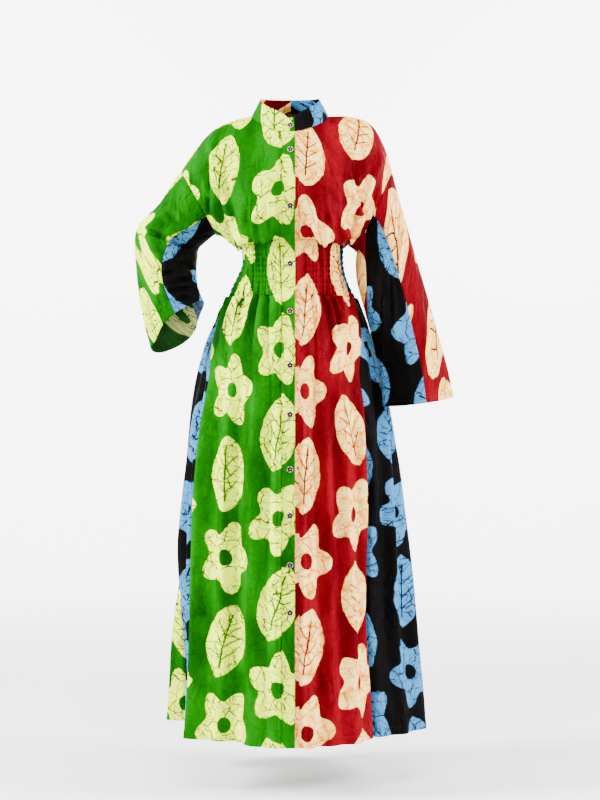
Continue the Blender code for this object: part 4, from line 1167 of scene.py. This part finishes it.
def collar_pieces():
    """Both halves of the stand collar, each with its facing and stitches."""
    heights = np.linspace(0, 1, COLLAR_ROWS)
    rim = COLLAR_RIM * (1 - ease(0, COLLAR_RIM_SHARE, 1 - heights))[:, None, None]
    for side, edge, way, outside, inside in COLLAR_PIECES:
        first = math.degrees(math.asin(edge / NECK_OVAL["left"][0]))
        turns = first + (way * 180 - first) * np.linspace(0, 1, COLLAR_COLUMNS)
        points = panel_points(neck, turns, heights)
        out = outward(points, points * UPRIGHT + (0, 0, 0.02))
        ripple = COLLAR_RIPPLE * np.sin(np.radians(turns) * COLLAR_RIPPLES) * arch(heights)[:, None]
        thick = np.full(points.shape[:2], COLLAR_CLOTH)
        flat = cut_places(points, way, 0.0, 0.0) * (1, -1)
        shown = points + out * (ripple[..., None] - rim)
        make_cloth(f"collar_{side}", shown, flat, out, outside, thick)
        behind = points - out * (FACING_IN - ripple[..., None] - rim)
        make_cloth(f"collar_facing_{side}", behind, flat + FACING_SHIFT, -out, inside, thick)
        for label, row in COLLAR_STITCHES:
            line = shown[row] + out[row] * COLLAR_CLOTH / 2
            stitches(f"collar_{label}_stitches_{side}", line, out[row], outside)


# Bodice pieces: face, x of the first edge, side of the wearer, look
BODICE_PIECES = (
    ("bodice_front_right", "front", RIGHT_EDGE, -1, "green"),
    ("bodice_front_left", "front", LEFT_EDGE, 1, "red"),
    ("bodice_back_right", "back", 0, -1, "green"),
    ("bodice_back_left", "back", 0, 1, "red"),
)
BODICE_COLUMNS = {"front": 110, "back": 80}
# Each bodice row, closer together near the band
BODICE_DOWN = 1 - np.linspace(1, 0, 96) ** 1.25
BODICE_MIDDLE = np.array((0, 0, -0.2))
RIPPLES = 20
RIPPLE_SEED = {"front": 7, "back": 41}
RIPPLE_HIGH = 0.0062
RIPPLE_REACH = 0.075
RIPPLES_TO = 0.20  # how far from the centre the ripples go
RIPPLES_FADE = 0.03
SAG = 0.012
SAG_WAVES = (0.0125, 0.0062)
SAG_START = (0, 0.016)  # above the band
SAG_END = (0.020, 0.075)
# Between which distances from an edge the folds grow: at seams, and beside the placket
SEAM_CLEAR = (0, 0.012)
SIDE_CLEAR = (0, 0.010)
STAND_CLEAR = (0.008, 0.022)
RIPPLE_CLEAR = (0.006, 0.020)
BODICE_FOOT_SHARE = 0.25  # share of the folds left at the band seam


def bodice_relief(panel, face, points):
    """Small ripples above the band, the creases and a dip at each seam."""
    front = face == "front"
    at_band = np.clip(1 - (panel.from_start - RIPPLES_TO) / RIPPLES_FADE, 0, 1)
    ripples = gather_lift(panel, panel.from_foot, RIPPLES, RIPPLE_SEED[face], RIPPLE_HIGH, RIPPLE_REACH)
    lift = crease_lift(CREASES, face, points) + ripples * at_band
    lift = lift * panel.inside(RIPPLE_CLEAR if front else SEAM_CLEAR, SIDE_CLEAR)
    at_foot = BODICE_FOOT_SHARE + (1 - BODICE_FOOT_SHARE) * ease(*HEAD_REACH, panel.from_foot)
    lift = lift * ease(*SEAM_CLEAR, panel.from_top) * at_foot
    lift = lift + panel.seam_dip(start=not front)
    return lift - SEAM_DIP * (1 - ease(0, SEAM_REACH, panel.from_top))


def sagged(points, seed):
    """The blouse over the band hangs a little lower in some places than in others."""
    above, across = Panel(points).from_foot, points[..., 0]
    wide, narrow = (np.sin(across / wave + seed * times) for times, wave in enumerate(SAG_WAVES, 1))
    low = 0.5 + 0.3 * wide + 0.2 * narrow
    sag = SAG * low * ease(*SAG_START, above) * (1 - ease(*SAG_END, above))
    return points - sag[..., None] * UPRIGHT


def stations_of_x(x, down):
    """The stations near the centre front where the bodice is at x."""
    fine = np.linspace(-1.0, 1.0, 41)
    return np.interp(x, bodice("front", fine, np.full_like(fine, down))[:, 0], fine)


def places_of_x(x, drop):
    """The places near the centre front where the band and skirt are at x."""
    fine = np.linspace(1.2, -1.2, 61)
    return np.interp(x, body(fine, np.full_like(fine, drop))[:, 0], fine)


def bodice_pieces():
    """Fronts and backs of the bodice."""
    for name, face, edge_x, side, look in BODICE_PIECES:
        front = face == "front"
        firsts = np.array([stations_of_x(edge_x, down) if front else 0.0 for down in BODICE_DOWN])[:, None]
        spread = np.linspace(0, 1, BODICE_COLUMNS[face])
        stations = firsts + (side * SLEEVE_STATION - firsts) * spread
        points = panel_points(draped(face), stations, BODICE_DOWN)
        out = outward(points, BODICE_MIDDLE)
        panel = Panel(points)
        shown = points + out * bodice_relief(panel, face, points)[..., None]
        if front:
            clear = panel.inside(STAND_CLEAR, SEAM_CLEAR) * ease(*SIDE_CLEAR, panel.from_foot)
            shown = shown + tucked(BODICE_TUCKS, points, out, clear)
        flat = cut_places(points, side, abs(edge_x), BAND_TOP, from_foot=True)
        make_cloth(name, sagged(shown, side), flat, out, look)


SLEEVE_ROWS = 130
SLEEVE_CLEAR = (0, 0.008)
SLEEVE_HEAD = (0, 0.06)  # shares of the way down over which the creases begin
SLEEVE_HEAD_DIP = (0, 0.02)
SIDEWAYS = (-0.25, 0.25)  # where creases of the front blend with those of the back


def sleeve_piece(name, table, alongs, first, last, columns, look, offset):
    """One piece of a sleeve between two seams, given as angles at each row."""
    angle = first + (last - first) * np.linspace(0, 1, columns)
    along = np.broadcast_to(alongs[:, None], angle.shape)
    points = waved_sleeve(table, angle, along)
    out = outward(points, sleeve_middle(table, along))
    panel = Panel(points)
    clear = panel.inside(SLEEVE_CLEAR, SLEEVE_CLEAR)
    ahead = ease(*SIDEWAYS, -out[..., 1])
    lift = crease_lift(SLEEVE_CREASES, "front", points) * ahead
    lift = lift + crease_lift(SLEEVE_CREASES, "back", points) * (1 - ahead)
    lift = lift * clear * ease(*SLEEVE_HEAD, along) + panel.seam_dip()
    lift = lift - SEAM_DIP * (1 - ease(*SLEEVE_HEAD_DIP, along))
    shown = points + out * lift[..., None] + tucked(SLEEVE_TUCKS, points, out, clear)
    thick = turned_edge(panel.from_foot, CUFF_DEPTH)
    make_cloth(name, shown, cut_places(points, 1, offset, 0.0), out, look, thick)
    turned_stitches(f"cuff_stitches_{name}", panel.from_foot, shown, out, CUFF_DEPTH, look)


def sleeve_pieces():
    """Main and under piece of both sleeves."""
    alongs = np.linspace(0, 1, SLEEVE_ROWS)
    for name, table, look in (("sleeve_right", RIGHT_SLEEVE, "green"), ("sleeve_left", LEFT_SLEEVE, "red")):
        front, back = (table.read(seam, alongs)[:, None] for seam in ("front_seam", "back_seam"))
        sleeve_piece(f"{name}_main", table, alongs, back - 360, front, 90, look, 0.03)
        sleeve_piece(f"{name}_under", table, alongs, front, back, 44, "black", 0.09)


# Pieces beside the placket: x of the first edge, side of the print, seam at the other
# edge, folds to count back from it, look, columns, gathers and seed
FRONT_PIECES = (
    ("front_right", RIGHT_EDGE, -1, "right_front_seam", 0, "green", 135, 10, 196),
    ("front_left", LEFT_EDGE, 1, "left_front_seam", -FOLD_COUNT, "red", 125, 9, 19),
)
# The other pieces round: both seams, side of the print, look, columns, gathers and seed
ROUND_PIECES = (
    ("side_right", "right_front_seam", "right_back_seam", -1, "black", 75, 6, 31),
    ("back_right", "right_back_seam", "centre_back", 1, "green", 125, 12, 47),
    ("back_left", "centre_back", "left_back_seam", -1, "red", 125, 12, 66),
    ("side_left", "left_back_seam", "left_front_seam", 1, "black", 75, 6, 83),
)
GATHER = 0.0130
GATHER_REACH = 0.18
LONG_FOLDS = 7
FOLD_HIGH = 0.0165
SHIRR_ROWS = 10
PUFF = 0.0042
PUFF_BEHIND = 0.6  # height of the puffs away from the placket, against those beside it
PUCKER = 0.0020
# Waves of the puckers: pitch, height, and how much each row, piece and way down moves it
PUCKERS = ((0.0083, 1.0, 1.0, 0.0, 0.0), (0.0057, 0.7, 2.1, 1.0, 0.0), (0.0139, 0.8, 0.0, 0.5, 0.4))
PUFF_CLEAR = (0, 0.006)
PUFF_STAND_CLEAR = (0.008, 0.014)
# Rows of each skirt piece, closer together near the band and at the hem
HEM_ROWS = HEM - 0.024
SKIRT_DROPS = np.append(
    BAND_FOOT + (HEM_ROWS - BAND_FOOT) * np.linspace(0, 1, 112) ** 1.3,
    np.linspace(HEM_ROWS, HEM, 13)[1:],
)
BAND_DROPS = np.linspace(BAND_TOP, BAND_FOOT, 7 * SHIRR_ROWS + 1)


def skirt_relief(panel, drop, count, seed, stand):
    """Gathers at the band, soft folds below, dips at the seams."""
    below = np.maximum(drop - BAND_FOOT, 0)
    lift = gather_lift(panel, below, count, seed, GATHER, GATHER_REACH)
    lift = lift + long_folds(panel, drop, LONG_FOLDS, seed + 100, FOLD_HIGH)
    lift = lift * panel.inside(STAND_CLEAR if stand else SEAM_CLEAR, SEAM_CLEAR)
    return lift + panel.seam_dip(start=not stand)


def shirr_relief(panel, seed, stand):
    """Puffs between elastic threads, with puckers that run down through them."""
    down = np.linspace(0, 1, len(panel.share))[:, None] * SHIRR_ROWS
    row = np.minimum(np.floor(down), SHIRR_ROWS - 1)
    puff = np.abs(np.sin(np.pi * down)) ** 0.7
    shift = wobble(row + seed, 0, 1.2) + 0.7 * np.sin(down * 0.9 + seed)
    run = 2 * np.pi * panel.from_start
    ripple = sum(
        height * np.sin(run / pitch + by_row * shift + by_piece * seed + by_down * down)
        for pitch, height, by_row, by_piece, by_down in PUCKERS
    ) / sum(wave[1] for wave in PUCKERS)
    lift = PUFF * puff * (0.35 + 0.65 * ripple) + PUCKER * (0.5 + 0.5 * ripple)
    lift = lift * (1 if stand else PUFF_BEHIND)
    lift = lift * panel.inside(PUFF_STAND_CLEAR if stand else PUFF_CLEAR, PUFF_CLEAR)
    return lift + panel.seam_dip(start=not stand)


def placket_places(edge_x, end, columns, drops):
    """Places from the edge under the placket to a seam, with even steps at each drop."""
    return np.array([even_places(places_of_x(edge_x, drop), end, columns, drop) for drop in drops])


def skirt_and_band(name, skirt_places, band_places, side, start, look, count, seed, stand):
    """A piece of the skirt and the piece of band above it."""
    points = panel_points(body, skirt_places, SKIRT_DROPS)
    out = outward(points, points * UPRIGHT)
    panel = Panel(points)
    shown = points + out * skirt_relief(panel, -points[..., 2], count, seed, stand)[..., None]
    squeeze = np.maximum(1, BAND_GATHER * panel.width[0] / panel.width)
    flat = cut_places(points, side, start, BAND_FOOT, squeeze)
    thick = turned_edge(panel.from_foot, HEM_DEPTH)
    make_cloth(f"skirt_{name}", shown, flat, out, look, thick)
    turned_stitches(f"hem_stitches_skirt_{name}", panel.from_foot, shown, out, HEM_DEPTH, look)
    points = panel_points(body, band_places, BAND_DROPS)
    out = outward(points, points * UPRIGHT)
    shown = points + out * shirr_relief(Panel(points), seed, stand)[..., None]
    flat = cut_places(points, side, start, BAND_TOP, BAND_GATHER)
    make_cloth(f"band_{name}", shown, flat, out, look)


def body_pieces():
    """The pieces of skirt and band, those beside the placket first."""
    for name, edge_x, side, seam, laps, look, columns, count, seed in FRONT_PIECES:
        end = FOLD_AT[seam] + laps
        places = (placket_places(edge_x, end, columns, drops) for drops in (SKIRT_DROPS, BAND_DROPS))
        skirt_and_band(name, *places, side, abs(edge_x), look, count, seed, True)
    for name, start, end, side, look, columns, count, seed in ROUND_PIECES:
        places = even_places(FOLD_AT[start], FOLD_AT[end], columns)
        skirt_and_band(name, places, places, side, 0.02 + 0.001 * seed, look, count, seed, False)


# Placket strips: first and last edge, lift, look and the stitch rows: names and edges
STAND_PIECES = (
    ("placket_left", UNDER_EDGE, LEFT_EDGE, 0.0, "red", {"under_placket_stitches": "last"}),
    ("placket_right", STAND_SEAM, STAND_EDGE, STAND_LIFT, "green",
     {"placket_seam_stitches": "first", "placket_edge_stitches": "last"}),
)
STAND_COLUMNS = 15
STAND_ROWS = (
    ("bodice", np.linspace(0, 0.995, 64)),
    ("band", np.linspace(BAND_TOP, BAND_FOOT, 30)),
    ("skirt", np.linspace(BAND_FOOT + 0.006, HEM, 140)),
)
STITCH_IN = 0.003
STITCH_DIP = 0.0003
STITCH_DIP_WIDE = 0.0012
EVEN_POINTS = 3  # times that the rows of points and of normals are evened
EVEN_NORMALS = 6
PULL = 0.0005  # how far the strip swells and dips between buttons
PULL_WAVES = (0.11, 0.043)


def stand_grid(xs):
    """Points of the button stand at each x, all the way down."""
    rows = []
    for part, places in STAND_ROWS:
        for place in places:
            at = np.full(len(xs), place)
            if part == "bodice":
                rows.append(bodice("front", stations_of_x(xs, place), at))
            else:
                rows.append(body(places_of_x(xs, place), at))
    return np.array(rows)


def evened(values, times):
    """Rows blended with their neighbours, ends kept."""
    values = values.copy()
    for _ in range(times):
        values[1:-1] = (values[:-2] + 2 * values[1:-1] + values[2:]) / 4
    return values


def stand_pieces():
    """Both placket strips, with their stitches and the buttons."""
    for name, first, last, lift, look, stitch_rows in STAND_PIECES:
        xs = np.linspace(first, last, STAND_COLUMNS)
        points = evened(stand_grid(xs), EVEN_POINTS)
        out = unit(evened(outward(points, points * UPRIGHT), EVEN_NORMALS))
        down = walked(points, 0)
        across = np.broadcast_to(xs, down.shape)
        lines = {"first": first + STITCH_IN, "last": last - STITCH_IN}
        long_wave, short_wave = (2 * np.pi * down / wave for wave in PULL_WAVES)
        pull = PULL * np.cos(long_wave) * np.sin(short_wave + 1)
        dips = sum(STITCH_DIP * bell(across - line, STITCH_DIP_WIDE) for line in lines.values())
        shown = points + out * (lift + pull - dips)[..., None]
        if name == "placket_right":
            place_buttons(points, out)
        for label, edge in stitch_rows.items():
            column = int(np.argmin(np.abs(xs - lines[edge])))
            line = shown[:, column] + out[:, column] * STAND_CLOTH / 2
            stitches(label, line, out[:, column], look)
        middle = STAND_COLUMNS // 2
        top = BAND_TOP - down[np.searchsorted(-points[:, middle, 2], BAND_TOP), middle]
        flat = np.stack([across, -(top + down)], -1)
        make_cloth(name, shown, flat, out, look, np.full(down.shape, STAND_CLOTH))


BUTTON_DEEP = 0.0024
BUTTON_STEPS = ((0, 0.0004), (-0.0004, 0.0004), (-0.0001, 0.0042))  # depth and inset
BUTTON_EDGE = 0.0003
HOLES = 4
HOLE_OUT = 0.0013  # from the middle of the button
HOLE_RADIUS = 0.00055
HOLE_DEEP = 0.006
PETAL_INLAYS = 5
PETAL_OUT = 0.0041
PETAL_RAISE = 0.00085
PETAL_SIZE = (0.0029, 0.0024, 0.0006)
THREAD_RADIUS = 0.00032
THREAD_RAISE = 0.0002
SHANK = 0.0008  # thread between cloth and button
FACE_OUT = {"collar": 0.0006, "stand": STAND_LIFT + 0.0007}  # outer face of the cloth


def round_place(radius, turn, height=0.0):
    """A place on a circle round the middle of a button."""
    return radius * math.cos(turn), radius * math.sin(turn), height


def select_top(piece):
    """Selects the face in the middle of the piece's top, in edit mode."""
    bpy.ops.object.mode_set(mode="OBJECT")
    faces = piece.data.polygons
    level = [face for face in faces if face.normal.z > 0.9]
    middle = min(level, key=lambda face: face.center.xy.length + (0 if len(face.vertices) > 4 else 1))
    for item in (piece.data.vertices, piece.data.edges, faces):
        item.foreach_set("select", [False] * len(item))
    middle.select = True
    bpy.ops.object.mode_set(mode="EDIT")


def button_disc():
    """A round disc with a raised rim and four holes."""
    bpy.ops.object.select_all(action="DESELECT")
    bpy.ops.mesh.primitive_cylinder_add(vertices=40, radius=BUTTON_RADIUS, depth=BUTTON_DEEP)
    disc = bpy.context.object
    bpy.ops.object.mode_set(mode="EDIT")
    bpy.ops.mesh.select_mode(type="FACE")
    for depth, inset in BUTTON_STEPS:
        select_top(disc)
        bpy.ops.mesh.inset(thickness=inset)
        bpy.ops.transform.translate(value=(0, 0, depth))
    bpy.ops.object.mode_set(mode="OBJECT")
    bevel = disc.modifiers.new("Edge", "BEVEL")
    bevel.width = BUTTON_EDGE
    bevel.segments = 2
    bevel.limit_method = "ANGLE"
    bpy.ops.object.modifier_apply(modifier=bevel.name)
    for k in range(HOLES):
        place = round_place(HOLE_OUT, math.radians(45 + 360 / HOLES * k))
        bpy.ops.mesh.primitive_cylinder_add(vertices=12, radius=HOLE_RADIUS, depth=HOLE_DEEP, location=place)
        cutter = bpy.context.object
        cut = disc.modifiers.new("Hole", "BOOLEAN")
        cut.object = cutter
        cut.solver = "EXACT"
        bpy.context.view_layer.objects.active = disc
        bpy.ops.object.modifier_apply(modifier=cut.name)
        bpy.data.objects.remove(cutter)
    disc.data.materials.clear()
    disc.data.materials.append(LOOKS["bone_button"])
    return disc


def bone_button():
    """A disc with dark petals let into its face and crossed threads in its holes."""
    disc = button_disc()
    parts = [disc]
    for k in range(PETAL_INLAYS):
        turn = math.radians(90 + 360 / PETAL_INLAYS * k)
        bpy.ops.mesh.primitive_uv_sphere_add(
            segments=12, ring_count=8, radius=1, rotation=(0, 0, turn), scale=PETAL_SIZE,
            location=round_place(PETAL_OUT, turn, PETAL_RAISE),
        )
        bpy.context.object.data.materials.append(LOOKS["dark_petal_inlay"])
        parts.append(bpy.context.object)
    for turn in (45, 135):
        bpy.ops.mesh.primitive_torus_add(
            major_segments=20, minor_segments=8, major_radius=HOLE_OUT, minor_radius=THREAD_RADIUS,
            location=(0, 0, THREAD_RAISE), rotation=(math.radians(90), 0, math.radians(turn)),
        )
        bpy.context.object.data.materials.append(LOOKS["bone_button"])
        parts.append(bpy.context.object)
    bpy.ops.object.select_all(action="DESELECT")
    for piece in parts:
        piece.select_set(True)
    bpy.context.view_layer.objects.active = disc
    bpy.ops.object.join()
    bpy.ops.object.transform_apply(location=True, rotation=True, scale=True)
    bpy.ops.object.shade_smooth_by_angle(angle=math.radians(35))
    return disc


def place_buttons(points, out):
    """Copies of one button down the stand, the first on the collar."""
    pattern = bone_button()
    column = int(np.argmin(np.abs(points[len(points) // 2, :, 0])))
    line, outs = points[:, column], out[:, column]
    seam_drop, top_drop = NECK.read("seam_drop", 0), NECK.read("top_drop", 0)
    for number, drop in enumerate(BUTTON_DROPS, 1):
        if drop < seam_drop:
            height = (seam_drop - drop) / (seam_drop - top_drop)
            centre = neck(0.0, height)
            normal = unit(np.cross((1.0, 0, 0), neck(0.0, height + 0.1) - neck(0.0, height - 0.1)))
            normal = normal * -np.sign(normal[1])
            face_out = FACE_OUT["collar"]
        else:
            centre = read_line(drop, -line[:, 2], line)
            normal = unit(read_line(drop, -line[:, 2], outs))
            face_out = FACE_OUT["stand"]
        place = centre + normal * (face_out + SHANK + BUTTON_DEEP / 2) - (centre[0], 0, 0)
        button = pattern.copy()
        button.data = pattern.data.copy()
        button.name = button.data.name = f"bone_button_{number:02d}"
        bpy.context.scene.collection.objects.link(button)
        button.data.transform(Vector(normal).to_track_quat("Z", "Y").to_matrix().to_4x4())
        button.data.transform(Matrix.Translation(Vector(place)))
        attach(button, "root")
        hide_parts(f"button_{number:02d}")
    bpy.data.objects.remove(pattern)


FLOOR = -1.570
FLOOR_WIDE = 18.0
FLOOR_DEEP = 12.0
FLOOR_BACK = 5.0
FLOOR_BEND = 1.4
FLOOR_TALL = 4.0
PAPER = (0.88, 0.88, 0.88, 1)
# Lamps: place, width and height, watts
LAMPS = {
    "left": ((-3.7, -0.9, 1.0), (0.9, 2.0), 720),
    "right": ((3.7, -0.9, 0.7), (1.0, 2.4), 500),
    "front": ((0.6, -3.8, 1.0), (1.2, 1.2), 50),
    "top": ((0.0, -1.5, 2.4), (2.0, 1.0), 160),
    "back_left": ((2.6, 2.8, 1.0), (1.0, 2.0), 90),
    "back_right": ((-2.6, 2.8, 1.2), (1.0, 2.0), 60),
    "wall_left": ((2.4, 3.7, 1.4), (1.2, 2.6), 560),
    "wall_right": ((-2.4, 3.7, 1.4), (1.2, 2.6), 560),
}
AIM = (0, 0, -0.65)
SKY = 0.24  # strength of the white sky
SKY_SEEN = 2.4  # added where the camera sees it
CAMERA_PLACE = (0.0223, -3.8, -0.677)
CAMERA_LENS = 72.8


def stage():
    """A pale floor that curves up into a backdrop far behind."""
    bpy.ops.object.select_all(action="DESELECT")
    bpy.ops.mesh.primitive_grid_add(x_subdivisions=2, y_subdivisions=80, size=1)
    floor = bpy.context.object
    floor.name = floor.data.name = "studio_floor"
    points = np.zeros(len(floor.data.vertices) * 3)
    floor.data.vertices.foreach_get("co", points)
    points = points.reshape(-1, 3)
    bend_run = math.pi / 2 * FLOOR_BEND
    run = (points[:, 1] + 0.5) * (FLOOR_DEEP + bend_run + FLOOR_TALL)
    angle = np.clip((run - FLOOR_DEEP) / FLOOR_BEND, 0, math.pi / 2)
    rise = np.maximum(run - FLOOR_DEEP - bend_run, 0)
    points[:, 0] *= FLOOR_WIDE
    points[:, 1] = FLOOR_BACK - FLOOR_DEEP + np.minimum(run, FLOOR_DEEP) + FLOOR_BEND * np.sin(angle)
    points[:, 2] = FLOOR + FLOOR_BEND * (1 - np.cos(angle)) + rise
    floor.data.vertices.foreach_set("co", points.reshape(-1))
    bpy.ops.object.shade_smooth()
    _, shader = new_material("studio_paper")
    fill(shader, {"Base Color": PAPER, "Roughness": 0.9})
    floor.data.materials.append(LOOKS["studio_paper"])


def lamps():
    """Soft lamps round the dress, and two on the backdrop."""
    for name, (place, size, watts) in LAMPS.items():
        data = bpy.data.lights.new(name, "AREA")
        data.shape = "RECTANGLE"
        data.size, data.size_y = size
        data.energy = watts
        lamp = bpy.data.objects.new(name, data)
        bpy.context.scene.collection.objects.link(lamp)
        lamp.location = place
        aim = (0.4 * place[0], FLOOR_BACK + FLOOR_BEND, 0.0) if name.startswith("wall") else AIM
        lamp.rotation_euler = (Vector(aim) - Vector(place)).to_track_quat("-Z", "Y").to_euler()


def sky():
    """A soft white sky, brighter where the camera sees it."""
    world = bpy.data.worlds.new("soft_white")
    world.use_nodes = True
    seen = node("LightPath", tree=world.node_tree)
    strength = node("Math", {0: seen, 1: SKY_SEEN, 2: SKY}, operation="MULTIPLY_ADD")
    fill(world.node_tree.nodes["Background"], {"Color": (1, 1, 1, 1), "Strength": strength})
    bpy.context.scene.world = world


def camera():
    """The camera, level and straight in front."""
    data = bpy.data.cameras.new("camera")
    data.lens = CAMERA_LENS
    eye = bpy.data.objects.new("camera", data)
    bpy.context.scene.collection.objects.link(eye)
    eye.location = CAMERA_PLACE
    eye.rotation_euler = (math.pi / 2, 0, 0)
    bpy.context.scene.camera = eye


collar_pieces()
bodice_pieces()
sleeve_pieces()
body_pieces()
stand_pieces()
stage()
lamps()
sky()
camera()
